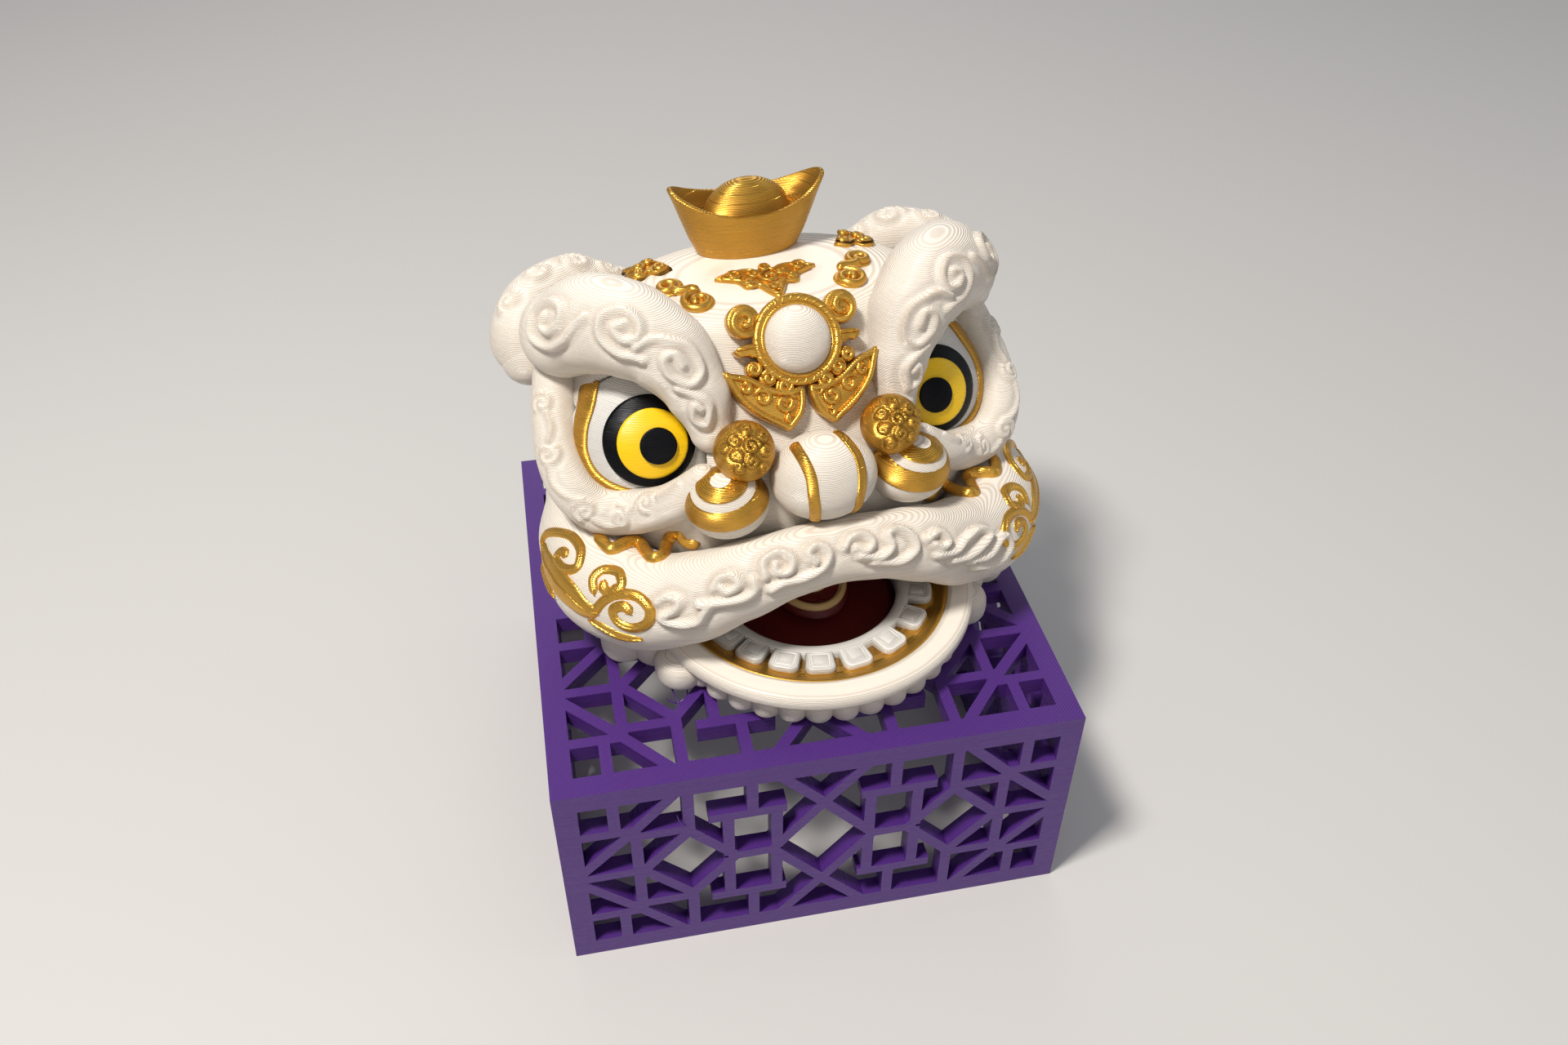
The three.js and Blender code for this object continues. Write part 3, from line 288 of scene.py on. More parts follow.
CAMERA_AHEAD = (0.157082, 0.74711363, -0.64586877)


# Meshes



class Line:
    """A smooth line through places, with a radius at each, measured along its length in millimetres."""

    def __init__(self, places, radii, hand=1, per_span=30):
        p = np.array(places, float)
        p = np.vstack([2 * p[0] - p[1], p, 2 * p[-1] - p[-2]])
        t = np.linspace(0, 1, per_span, endpoint=False)
        spots, sizes = [], []
        for i in range(1, len(p) - 2):
            d0, d1, d2 = (max(np.linalg.norm(p[i + k] - p[i + k - 1]) ** 0.5, 1e-6) for k in (0, 1, 2))
            leave = ((p[i] - p[i - 1]) / d0 - (p[i + 1] - p[i - 1]) / (d0 + d1) + (p[i + 1] - p[i]) / d1) * d1
            reach = ((p[i + 1] - p[i]) / d1 - (p[i + 2] - p[i]) / (d1 + d2) + (p[i + 2] - p[i + 1]) / d2) * d1
            cubic = 2 * p[i] - 2 * p[i + 1] + leave + reach
            square = -3 * p[i] + 3 * p[i + 1] - 2 * leave - reach
            tt = t[:, None]
            spots.append(cubic * tt**3 + square * tt**2 + leave * tt + p[i])
            ease = t * t * (3 - 2 * t)
            sizes.append(radii[i - 1] * (1 - ease) + radii[i] * ease)
        self.spots = np.vstack([*spots, p[-2:-1]])
        self.radii = np.append(np.concatenate(sizes), radii[-1])
        steps = np.linalg.norm(np.diff(self.spots, axis=0), axis=1)
        self.marks = np.append(0, np.cumsum(steps))
        self.length = self.marks[-1]
        self.hand = hand
        self.along = np.gradient(self.spots, axis=0)
        self.along /= np.linalg.norm(self.along, axis=1)[:, None]

    def _mix(self, table, mark):
        return np.stack([np.interp(mark, self.marks, table[:, k]) for k in range(3)], -1)

    def surface(self, mark, turn):
        """Places on the roll and the directions outwards, from the mark along it and the turn round it."""
        inside = np.clip(mark, 0, self.length)
        spot, along = self._mix(self.spots, inside), self._mix(self.along, inside)
        along /= np.linalg.norm(along, axis=-1, keepdims=True)
        radius = np.interp(inside, self.marks, self.radii)
        side = np.cross(along, (0, 0, 1))
        side /= np.linalg.norm(side, axis=-1, keepdims=True)
        rise = np.cross(side, along)
        over = np.clip((mark - inside) / radius, -1, 1)
        lean = np.sqrt(1 - over**2)[..., None]
        sideways = self.hand * side * np.cos(turn)[..., None] + rise * np.sin(turn)[..., None]
        out = sideways * lean + along * over[..., None]
        return spot + out * radius[..., None], out

    def drawn(self, table):
        """Places along a raised line whose knots are marks and degrees."""
        return self.drawn_with_out(table, 10)[0]

    def drawn_with_out(self, table, per_span):
        flat = smooth([(mark, turn * TURN_SCALE, 0) for mark, turn in table], per_span)
        return self.surface(flat[:, 0], np.radians(flat[:, 1] / TURN_SCALE))


def table_line(table, hand=1):
    return Line([at(hand * p[0], p[1], p[2]) for p, _ in table], [r for _, r in table], hand)


def smooth(knots, per_span=10):
    return Line(knots, [1] * len(knots), per_span=per_span).spots


def curl(radius, turns=1.4, start=0.0, hand=1, inner=0.16, steps=26):
    """A flat spiral from its outer end to its middle."""
    t = np.linspace(0, 1, steps)
    angle = math.radians(start) + hand * 2 * math.pi * turns * t
    reach = radius * (1 - (1 - inner) * t)
    return np.stack([reach * np.cos(angle), reach * np.sin(angle)], -1)


def ball_mesh(around, rings):
    bm = bmesh.new()
    bmesh.ops.create_uvsphere(bm, u_segments=around, v_segments=rings, radius=1)
    return bm


def read(bm):
    return np.array([v.co for v in bm.verts], float)


def write(bm, places):
    for vert, place in zip(bm.verts, places):
        vert.co = place


def nearest(places, points):
    tree = KDTree(len(points))
    for i, point in enumerate(points):
        tree.insert(point, i)
    tree.balance()
    return np.array([tree.find(place)[2] for place in places])


def emboss(places, out, lines, height, width, moat=0.25):
    """Moves places outwards near raised lines, and a little inwards beside them."""
    if not lines:
        return places
    away = nearest(places, np.vstack(lines)) / width
    lift = np.exp(-(away**2)) - moat * np.exp(-(((away - 1.9) / 0.9) ** 2))
    return places + out * (height * lift)[:, None]


def rolled(line, around, rings, relief=(), height=0.75, width=0.8):
    bm = ball_mesh(around, rings)
    unit = read(bm)
    share = np.arccos(np.clip(unit[:, 2], -1, 1)) / np.pi
    turn = np.arctan2(unit[:, 1], unit[:, 0])
    first, last = line.radii[0], line.radii[-1]
    places, out = line.surface(-first + share * (line.length + first + last), turn)
    write(bm, emboss(places, out, relief, height, width))
    return bm


def ribbon(points, outs, widths, thick, sides=12, closed=False):
    """A band of oval section along points on a surface, with its half width at each point."""
    bm = bmesh.new()
    points, outs = np.asarray(points, float), np.asarray(outs, float)
    count = len(points)
    widths = np.broadcast_to(np.asarray(widths, float), count)
    if closed:
        along = np.roll(points, -1, axis=0) - np.roll(points, 1, axis=0)
    else:
        along = np.gradient(points, axis=0)
    along /= np.maximum(np.linalg.norm(along, axis=1)[:, None], 1e-9)
    side = np.cross(along, np.broadcast_to(outs, points.shape))
    side /= np.maximum(np.linalg.norm(side, axis=1)[:, None], 1e-9)
    rise = np.cross(side, along)
    rings = []
    for i in range(count):
        share = 1.0 if closed else 0.3 + 0.7 * min(1, min(i, count - 1 - i) / 2.5)
        basis = Matrix((side[i] * widths[i] * share, rise[i] * thick * share, along[i])).transposed().to_4x4()
        made = bmesh.ops.create_circle(
            bm, segments=sides, radius=1, matrix=Matrix.Translation(points[i]) @ basis)
        rings.append(made["verts"])
    for low, high in zip(rings, rings[1:] + ([rings[0]] if closed else [])):
        for k in range(sides):
            bm.faces.new((low[k], low[(k + 1) % sides], high[(k + 1) % sides], high[k]))
    if not closed:
        bm.faces.new(rings[0][::-1])
        bm.faces.new(rings[-1])
    bmesh.ops.recalc_face_normals(bm, faces=bm.faces)
    return bm


def tube(points, radius, sides=10, closed=False, flatten=(0.13, 0.2, 0.97)):
    """A thin round cord through points."""
    return ribbon(points, flatten, radius, radius, sides, closed)


def spun(profile, middle, steps):
    bm = bmesh.new()
    verts = [bm.verts.new((x, 0, z)) for x, z in profile]
    closed = profile[0][0] > 0
    pairs = list(zip(verts, verts[1:])) + ([(verts[-1], verts[0])] if closed else [])
    edges = [bm.edges.new(pair) for pair in pairs]
    bmesh.ops.spin(bm, geom=verts + edges, cent=(0, 0, 0), axis=(0, 0, 1), angle=2 * math.pi, steps=steps,
        use_merge=True)
    bmesh.ops.remove_doubles(bm, verts=bm.verts, dist=1e-4)
    bmesh.ops.translate(bm, verts=bm.verts, vec=middle)
    bmesh.ops.recalc_face_normals(bm, faces=bm.faces)
    return bm


def rounded_outline(outline, per_span):
    """The places of a smooth closed outline."""
    return smooth([(x, y, 0) for x, y in (*outline, outline[0])], per_span)[:-1, :2]


def joined(parts):
    """One bmesh of several, which it frees."""
    bm = bmesh.new()
    for part in parts:
        mesh = bpy.data.meshes.new("joined")
        part.to_mesh(mesh)
        part.free()
        bm.from_mesh(mesh)
        bpy.data.meshes.remove(mesh)
    return bm


def plate(outline, place, thick, soft=0.35):
    """A flat plate with soft upper edges. place turns flat points and a height into places on the head."""
    bm = bmesh.new()
    verts = [bm.verts.new((x, y, 0)) for x, y in outline]
    face = bm.faces.new(verts)
    bmesh.ops.recalc_face_normals(bm, faces=[face])
    if face.normal.z < 0:
        face.normal_flip()
    made = bmesh.ops.extrude_face_region(bm, geom=[face])
    top = [v for v in made["geom"] if isinstance(v, bmesh.types.BMVert)]
    bmesh.ops.translate(bm, verts=top, vec=(0, 0, 1))
    rim = [e for e in bm.edges if all(v.co.z > 0.5 for v in e.verts)]
    bmesh.ops.bevel(
        bm, geom=rim, offset=soft, segments=3, profile=0.5, affect="EDGES", material=-1, clamp_overlap=True)
    bmesh.ops.triangulate(bm, faces=[f for f in bm.faces if len(f.verts) > 4])
    bmesh.ops.subdivide_edges(
        bm, edges=[e for e in bm.edges if e.calc_length() > 1.6], cuts=1, use_grid_fill=True)
    for vert in bm.verts:
        vert.co = place(vert.co.x, vert.co.y, (vert.co.z - 1) * thick)
    bmesh.ops.recalc_face_normals(bm, faces=bm.faces)
    return bm


def piece(shape, name, finish, nodes):
    """Puts a shape, or the list of its parts, on the head as an object that stands for its solids."""
    if isinstance(shape, list):
        shape = joined(shape)
    else:
        bmesh.ops.recalc_face_normals(shape, faces=shape.faces)
    shape.transform(HEAD)
    return stand_piece(shape, name, finish, nodes)


def stand_piece(bm, name, finish, nodes):
    """Makes the object. finish names its finish, or the several that its faces pick from."""
    finishes = (finish,) if isinstance(finish, str) else finish
    mesh = bpy.data.meshes.new(name)
    for face in bm.faces:
        face.smooth = True
    bm.to_mesh(mesh)
    bm.free()
    for one in finishes:
        mesh.materials.append(FINISH[one])
    obj = bpy.data.objects.new(name, mesh)
    bpy.context.scene.collection.objects.link(obj)
    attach(obj, "root")
    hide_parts(*nodes)
    return obj


# Shapes that several pieces share


def skull_mesh(around=176, rings=120):
    bm = ball_mesh(around, rings)
    unit = read(bm)
    sections = smooth([(up, half, front) for up, half, front, _ in SKULL_SECTIONS], 20)
    backs = smooth([(up, half, back) for up, half, _, back in SKULL_SECTIONS], 20)
    share = 1 - np.arccos(np.clip(unit[:, 2], -1, 1)) / np.pi
    index = share * (len(sections) - 1)
    columns = (sections[:, 0], sections[:, 1], sections[:, 2], backs[:, 2])
    up, half, front, back = (np.interp(index, np.arange(len(sections)), column) for column in columns)
    half = np.maximum(half, 0)
    turn = np.arctan2(unit[:, 1], unit[:, 0])
    c, s = np.cos(turn), np.sin(turn)
    x = half * HEAD_WIDTH * np.sign(c) * np.abs(c) ** SQUARENESS
    y = ((front + back) / 2 + (back - front) / 2 * np.sign(s) * np.abs(s) ** SQUARENESS) * HEAD_DEPTH
    write(bm, np.stack([x, y, up * HEAD_HEIGHT], -1))
    return bm


SKULL_TREE = BVHTree.FromBMesh(skull_mesh(96, 72))


def on_skull(x, y, lift):
    """A place over the crown, seen from above, lifted along the skull's normal."""
    hit, normal, _, _ = SKULL_TREE.ray_cast(Vector((x, y, 120)), Vector((0, 0, -1)))
    if normal.z < 0:
        normal = -normal
    return hit + normal * lift


def on_forehead(x, y, lift):
    spot = RING_MIDDLE + np.array((x, 0, 0)) + FACE_UP * y + FACE_OUT * lift
    return Vector(spot)


def eye_centre(side):
    return at(0.26 * side, 0.122, 0.565)


def eye_look(side, layer):
    outward, upward = EYE_LOOKS[layer]
    look = np.array((side * (0.07 + outward), -0.89, 0.45 + upward))
    return look / np.linalg.norm(look)


def eye_cap(side, layer, radius, low, high):
    """A round layer of the eye between two heights over the ball, with a rounded rim."""
    lean = math.asin(radius / EYE_BALL)
    angles = np.linspace(0, lean, 14)
    over = [(math.sin(a) * (EYE_BALL + high), math.cos(a) * (EYE_BALL + high)) for a in angles[:-1]]
    rim = lean * 0.985
    over += [(math.sin(rim) * (EYE_BALL + high), math.cos(rim) * (EYE_BALL + high))]
    soft = (low + high) / 2
    over += [(math.sin(lean) * (EYE_BALL + soft), math.cos(lean) * (EYE_BALL + soft))]
    under = [(math.sin(a) * (EYE_BALL + low), math.cos(a) * (EYE_BALL + low)) for a in angles[::-1]]
    bm = spun([(max(x, 0), z) for x, z in over + under], (0, 0, 0), 96)
    turn = Vector((0, 0, 1)).rotation_difference(Vector(eye_look(side, layer))).to_matrix().to_4x4()
    bm.transform(Matrix.Translation(eye_centre(side)) @ turn)
    return bm


def pushed_back_for_eyes(places):
    """The skull's round openings behind both eyeballs."""
    for _, side in SIDES:
        look, centre = eye_look(side, "opening"), eye_centre(side)
        local = places - centre
        depth = local @ look
        away = np.linalg.norm(local - depth[:, None] * look, axis=1)
        inside = (away < EYE_OPENING + 0.5) & (depth > EYE_BACK - 1)
        sink = np.clip((EYE_OPENING + 0.5 - away) / 0.5, 0, 1)
        target = depth + (EYE_BACK - 1 - depth) * sink
        places = np.where(
            inside[:, None], centre + (local - depth[:, None] * look) + target[:, None] * look, places)
    return places


def pushed_back_for_mouth(places):
    local = (places - MOUTH_MIDDLE) / MOUTH_HALF
    flat = local[:, 0] ** 2 + local[:, 2] ** 2
    inside = (flat < 1) & (places[:, 1] < MOUTH_MIDDLE[1] + 3)
    back = MOUTH_MIDDLE[1] + MOUTH_HALF[1] * np.sqrt(np.clip(1 - flat, 0, 1))
    moved = places.copy()
    moved[inside, 1] = back[inside]
    return moved


# Materials


def group(name, inputs, outputs):
    made = bpy.data.node_groups.new(name, "ShaderNodeTree")
    for label, kind, value in inputs:
        socket = made.interface.new_socket(name=label, in_out="INPUT", socket_type=kind)
        socket.default_value = value
    for label, kind in outputs:
        made.interface.new_socket(name=label, in_out="OUTPUT", socket_type=kind)
    return made, made.nodes.new("NodeGroupInput"), made.nodes.new("NodeGroupOutput")


def node(tree, kind, values=None, **props):
    made = tree.nodes.new(kind)
    for key, value in props.items():
        setattr(made, key, value)
    for key, value in (values or {}).items():
        if isinstance(value, bpy.types.NodeSocket):
            tree.links.new(value, made.inputs[key])
        else:
            made.inputs[key].default_value = value
    return made


def math_node(tree, operation, *values):
    return node(tree, "ShaderNodeMath", dict(enumerate(values)), operation=operation).outputs[0]


def layers_group():
    """Height of the lines that the printer leaves, with a slow waver, and a few blobs on the seam."""
    tree, inside, out = group(
        "Printed layers",
        [("Layer", "NodeSocketFloat", LAYER), ("Waver", "NodeSocketFloat", 0.3),
            ("Blobs", "NodeSocketFloat", 0.3)],
        [("Height", "NodeSocketFloat"), ("Tone", "NodeSocketFloat"), ("Line", "NodeSocketFloat")],
    )
    place = node(tree, "ShaderNodeTexCoord").outputs["Object"]
    up = node(tree, "ShaderNodeSeparateXYZ", {0: place}).outputs["Z"]
    slow = node(tree, "ShaderNodeTexNoise", {"Vector": place, "Scale": 90.0, "Detail": 3.0}).outputs["Fac"]
    shaken = math_node(tree, "MULTIPLY", slow, inside.outputs["Waver"])
    count = math_node(tree, "ADD", math_node(tree, "DIVIDE", up, inside.outputs["Layer"]),
        math_node(tree, "MULTIPLY", shaken, 2.0))
    wave = math_node(tree, "SINE", math_node(tree, "MULTIPLY", count, 2 * math.pi))
    crest = node(tree, "ShaderNodeMapRange", {0: wave, 1: 0.1, 2: 0.95, 3: 0.0, 4: 1.0},
        interpolation_type="SMOOTHSTEP").outputs[0]
    level = math_node(tree, "FLOOR", count)
    uneven = node(tree, "ShaderNodeTexWhiteNoise", {"W": level}, noise_dimensions="1D").outputs["Value"]
    spots = node(tree, "ShaderNodeTexVoronoi", {"Vector": place, "Scale": 95.0}).outputs["Distance"]
    blob = node(tree, "ShaderNodeMapRange", {0: spots, 1: 0.0, 2: 0.12, 3: 1.0, 4: 0.0},
        interpolation_type="SMOOTHSTEP").outputs[0]
    height = math_node(tree, "MULTIPLY_ADD", uneven, 0.7, math_node(tree, "MULTIPLY", wave, 0.5))
    height = math_node(tree, "MULTIPLY_ADD", blob, inside.outputs["Blobs"], height)
    tree.links.new(height, out.inputs["Height"])
    tree.links.new(uneven, out.inputs["Tone"])
    tree.links.new(crest, out.inputs["Line"])
    return tree


def mottle_and_shade_group():
    """Colour that varies slowly over a surface, with painted shade laid into its hollows."""
    tree, inside, out = group(
        "Mottled colour and painted shade",
        [
            ("Colour", "NodeSocketColor", (1, 1, 1, 1)), ("Painted shade", "NodeSocketColor", (0.5, 0.5, 0.5, 1)),
            ("Second", "NodeSocketColor", (0.9, 0.9, 0.9, 1)), ("Amount", "NodeSocketFloat", 0.4),
            ("Scale", "NodeSocketFloat", 60.0),
        ],
        [("Colour", "NodeSocketColor")],
    )
    place = node(tree, "ShaderNodeTexCoord").outputs["Object"]
    cloud = node(tree, "ShaderNodeTexNoise", {"Vector": place, "Scale": inside.outputs["Scale"],
        "Detail": 4.0}).outputs["Fac"]
    amount = math_node(tree, "MULTIPLY", cloud, inside.outputs["Amount"])
    mixed = node(
        tree, "ShaderNodeMix", {0: amount, 6: inside.outputs["Colour"], 7: inside.outputs["Second"]},
        data_type="RGBA"
    ).outputs[2]
    # Painted shade: where the surface is hollow (low pointiness), the colour turns to the shade colour.
    bend = node(tree, "ShaderNodeNewGeometry").outputs["Pointiness"]
    low = node(tree, "ShaderNodeMapRange", {0: bend, 1: 0.42, 2: 0.5, 3: 1.0, 4: 0.0}).outputs[0]
    painted_shade = node(
        tree, "ShaderNodeMix", {0: low, 6: mixed, 7: inside.outputs["Painted shade"]}, data_type="RGBA").outputs[2]
    tree.links.new(painted_shade, out.inputs["Colour"])
    return tree


def linear(colour):
    return [c / 12.92 if c <= 0.04045 else ((c + 0.055) / 1.055) ** 2.4 for c in colour[:3]] + [1.0]


def printed(
        name, colour, second, painted_shade, roughness, metallic=0.0, bump=0.5, waver=0.3, blobs=0.2, mottle=0.5,
        depth=0.00007, line=0.3):
    """A printed plastic: its colour with painted shade in its hollows, its layer lines darkened towards the
    same shade colour, and its gloss.
    """
    finish = bpy.data.materials.new(name)
    finish.use_nodes = True
    tree = finish.node_tree
    shader = tree.nodes["Principled BSDF"]
    lines = node(tree, "ShaderNodeGroup", node_tree=GROUPS["layers"])
    for key, value in (("Layer", LAYER), ("Waver", waver), ("Blobs", blobs)):
        lines.inputs[key].default_value = value
    # paint is the mottled colour with painted shade in the hollows.
    paint = node(tree, "ShaderNodeGroup", node_tree=GROUPS["mottle"])
    for key, value in (("Colour", colour), ("Second", second), ("Painted shade", painted_shade)):
        paint.inputs[key].default_value = linear(value)
    paint.inputs["Amount"].default_value = mottle
    # The layer lines are darkened towards the painted shade colour.
    share = math_node(tree, "MULTIPLY", lines.outputs["Line"], line)
    lined = node(
        tree, "ShaderNodeMix", {0: share, 6: paint.outputs["Colour"], 7: linear(painted_shade)},
        data_type="RGBA").outputs[2]
    tree.links.new(lined, shader.inputs["Base Color"])
    rough = node(tree, "ShaderNodeMapRange", {0: lines.outputs["Tone"], 3: roughness * 0.8,
        4: roughness * 1.25}).outputs[0]
    tree.links.new(rough, shader.inputs["Roughness"])
    shader.inputs["Metallic"].default_value = metallic
    bumped = node(tree, "ShaderNodeBump", {"Strength": bump, "Distance": depth,
        "Height": lines.outputs["Height"]}).outputs[0]
    tree.links.new(bumped, shader.inputs["Normal"])
    return finish


GROUPS = {}
FINISH = {}


def make_finishes(colours):
    GROUPS["layers"], GROUPS["mottle"] = layers_group(), mottle_and_shade_group()
    ivory, gold, purple = colours.ivory, colours.gold, colours.purple
    # The third colour of each finish is its painted shade, laid into its hollows and its layer lines.
    FINISH["ivory"] = printed(
        "ivory print", ivory, (0.9, 0.865, 0.815), (0.8, 0.735, 0.66), 0.32, bump=1.0, waver=0.25, line=0.55,
        depth=0.00009)
    shader = FINISH["ivory"].node_tree.nodes["Principled BSDF"]
    shader.inputs["Subsurface Weight"].default_value = 0.12
    shader.inputs["Subsurface Radius"].default_value = (0.002, 0.0014, 0.0009)
    shader.inputs["Subsurface Scale"].default_value = 1.0
    FINISH["white"] = printed(
        "white print", colours.white, (0.85, 0.84, 0.82), (0.68, 0.665, 0.64), 0.33, bump=1.0, waver=0.2,
        line=0.5, depth=0.00008)
    FINISH["gold"] = printed(
        "gold silk print", gold, (0.72, 0.52, 0.16), (0.3, 0.19, 0.05), 0.3, 0.9, bump=0.8, waver=0.08,
        blobs=0.4)
    FINISH["relief"] = printed(
        "gold relief print", gold, (0.78, 0.58, 0.22), (0.3, 0.19, 0.06), 0.27, 0.85, bump=0.35, waver=0.2,
        blobs=0.1, mottle=0.3, line=0.12)
    FINISH["purple"] = purple_finish(purple)
    # The dark red is partly the plastic's own colour and partly painted shade: it is set darker to stand for
    # the shade inside the mouth.
    FINISH["maroon"] = printed(
        "dark red print", (0.34, 0.05, 0.035), (0.4, 0.07, 0.045), (0.18, 0.02, 0.02), 0.45, bump=0.6)
    FINISH["black"] = printed(
        "black print", (0.015, 0.018, 0.035), (0.03, 0.034, 0.06), (0.01, 0.01, 0.01), 0.3, bump=0.4)
    FINISH["black"].node_tree.nodes["Principled BSDF"].inputs["Specular IOR Level"].default_value = 0.16
    FINISH["yellow"] = printed(
        "yellow print", colours.yellow, (0.95, 0.68, 0.0), (0.75, 0.5, 0.0), 0.3, bump=0.4, mottle=0.3)
    FINISH["cream"] = printed(
        "cream print", (0.85, 0.72, 0.5), (0.78, 0.6, 0.34), (0.5, 0.35, 0.18), 0.4, bump=0.6)


def purple_finish(colour):
    """The box: layer lines on its walls, the printer's slanting strokes on what faces up, and painted shade
    in its hollows.
    """
    # darker is the box's painted shade colour, for its hollows and its strokes.
    lighter, darker = [min(1, c * 1.25) for c in colour[:3]], [c * 0.6 for c in colour[:3]]
    finish = printed("purple print", colour, lighter, darker, 0.32, bump=0.4, waver=0.06, mottle=0.3)
    tree = finish.node_tree
    shader = tree.nodes["Principled BSDF"]
    shader.inputs["Specular IOR Level"].default_value = 0.4
    walls = shader.inputs["Normal"].links[0].from_node
    place = node(tree, "ShaderNodeTexCoord").outputs["Object"]
    turned = node(tree, "ShaderNodeMapping", {0: place, "Rotation": (0, 0, math.radians(45))}).outputs[0]
    strokes = node(tree, "ShaderNodeTexWave", {"Vector": turned, "Scale": 620.0, "Distortion": 0.6,
        "Detail": 1.0}, bands_direction="X")
    normal = node(tree, "ShaderNodeNewGeometry").outputs["True Normal"]
    up = node(tree, "ShaderNodeSeparateXYZ", {0: normal}).outputs["Z"]
    level = math_node(tree, "GREATER_THAN", up, 0.9)
    both = node(tree, "ShaderNodeMix", {0: level, 2: walls.inputs["Height"].links[0].from_socket,
        3: strokes.outputs["Fac"]}).outputs[0]
    tree.links.new(both, walls.inputs["Height"])
    lined = shader.inputs["Base Color"].links[0].from_node
    share = lined.inputs[0].links[0].from_socket
    dark = math_node(tree, "MULTIPLY", strokes.outputs["Fac"], 0.45)
    share = node(tree, "ShaderNodeMix", {0: level, 2: share, 3: dark}).outputs[0]
    tree.links.new(share, lined.inputs[0])
    return finish


# Settings


class LionHeadSizes(bpy.types.PropertyGroup):
    brow_relief: bpy.props.FloatProperty(
        name="Brow relief", description="Height of the raised spirals on the brows", default=0.9 * MM,
        unit="LENGTH"
    )
    lip_relief: bpy.props.FloatProperty(
        name="Lip relief", description="Height of the raised clouds on the upper lip", default=1.25 * MM,
        unit="LENGTH"
    )
    cord: bpy.props.FloatProperty(
        name="Gold cord", description="Radius of the gold cords on the ornaments", default=0.5 * MM,
        unit="LENGTH"
    )
    strut_edge: bpy.props.FloatProperty(
        name="Strut edge", description="Rounding of the box's edges", default=0.3 * MM, unit="LENGTH"
    )


class LionHeadColours(bpy.types.PropertyGroup):
    ivory: bpy.props.FloatVectorProperty(
        name="Ivory", description="Colour of the head", default=(0.94, 0.905, 0.85), subtype="COLOR_GAMMA",
        min=0, max=1
    )
    gold: bpy.props.FloatVectorProperty(
        name="Gold", description="Colour of the silk gold", default=(0.87, 0.67, 0.29), subtype="COLOR_GAMMA",
        min=0, max=1
    )
    purple: bpy.props.FloatVectorProperty(
        name="Purple", description="Colour of the box", default=(0.31, 0.165, 0.475), subtype="COLOR_GAMMA",
        min=0, max=1
    )
    yellow: bpy.props.FloatVectorProperty(
        name="Yellow", description="Colour of the irises", default=(1.0, 0.83, 0.0), subtype="COLOR_GAMMA",
        min=0, max=1
    )
    white: bpy.props.FloatVectorProperty(
        name="White", description="Colour of the eyeballs and teeth", default=(0.9, 0.885, 0.855),
        subtype="COLOR_GAMMA", min=0, max=1
    )


# Operators


class LIONHEAD_OT_finishes(bpy.types.Operator):
    """Makes the printed finishes that the pieces share"""

    bl_idname = "lionhead.finishes"
    bl_label = "Finishes"

    def execute(self, context):
        make_finishes(context.scene.lion_head_colours)
        return {"FINISHED"}


class LIONHEAD_OT_stand(bpy.types.Operator):
    """Makes the pierced box with one full pattern on every wall and softly rounded edges"""

    bl_idname = "lionhead.stand"
    bl_label = "Pierced box"

    def execute(self, context):
        edge = context.scene.lion_head_sizes.strut_edge
        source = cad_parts["stand"].data
        half = (STAND_HIGH.x - STAND_LOW.x) / 2
        lid = STAND_TOP - LID_THICK
        parts = []
        for quarter in range(4):
            bm = self.cleaned(source)
            for way in (1, -1):
                self.keep(bm, Vector((0, 0, 0)), Vector((way, -1, 0)))
            self.keep(bm, Vector((0, 0, lid)), Vector((0, 0, -1)))
            self.keep(bm, Vector((0, WALL_THICK - half, 0)), Vector((0, -1, 0)))
            bm.transform(Matrix.Rotation(quarter * math.pi / 2, 4, "Z"))
            parts.append(bm)
        for way in (1, -1):
            bm = self.cleaned(source)
            self.keep(bm, Vector((0, 0, lid)), Vector((0, 0, 1)))
            self.keep(bm, Vector((0, 0, 0)), Vector((0, -1, 0)))
            bm.transform(Matrix.Diagonal((1, way, 1, 1)))
            if way < 0:
                bmesh.ops.reverse_faces(bm, faces=bm.faces)
            parts.append(bm)
        whole = joined(parts)
        bmesh.ops.remove_doubles(whole, verts=whole.verts, dist=2e-6)
        bmesh.ops.dissolve_limit(whole, angle_limit=math.radians(1), verts=whole.verts, edges=whole.edges)
        whole.normal_update()
        sharp = [e for e in whole.edges if len(e.link_faces) == 2 and e.calc_face_angle() > math.radians(20)]
        bmesh.ops.bevel(
            whole, geom=sharp, offset=edge, segments=2, profile=0.5, affect="EDGES", material=-1,
            clamp_overlap=True
        )
        bmesh.ops.translate(whole, verts=whole.verts, vec=(STAND_MIDDLE.x, STAND_MIDDLE.y, 0))
        whole = joined([whole, *self.strings()])
        box = stand_piece(whole, "pierced_box", "purple", ["stand"])
        box.data.shade_flat()
        return {"FINISHED"}

    @staticmethod
    def strings():
        """Stray threads that the printer left under the lid, in front on the left."""
        parts = []
        for knots, radius in THREADS:
            thread = tube(smooth(knots, 6), radius, 6)
            bmesh.ops.scale(thread, verts=thread.verts, vec=(MM, MM, MM))
            parts.append(thread)
        return parts

    @staticmethod
    def cleaned(source):
        bm = bmesh.new()
        bm.from_mesh(source)
        bmesh.ops.remove_doubles(bm, verts=bm.verts, dist=1e-6)
        bmesh.ops.translate(bm, verts=bm.verts, vec=(-STAND_MIDDLE.x, -STAND_MIDDLE.y, 0))
        return bm

    @staticmethod
    def keep(bm, spot, normal):
        """Cuts away what lies behind a plane, and leaves the cut open for its neighbour to meet."""
        geometry = bm.verts[:] + bm.edges[:] + bm.faces[:]
        bmesh.ops.bisect_plane(bm, geom=geometry, plane_co=spot, plane_no=normal, clear_inner=True, dist=1e-7)


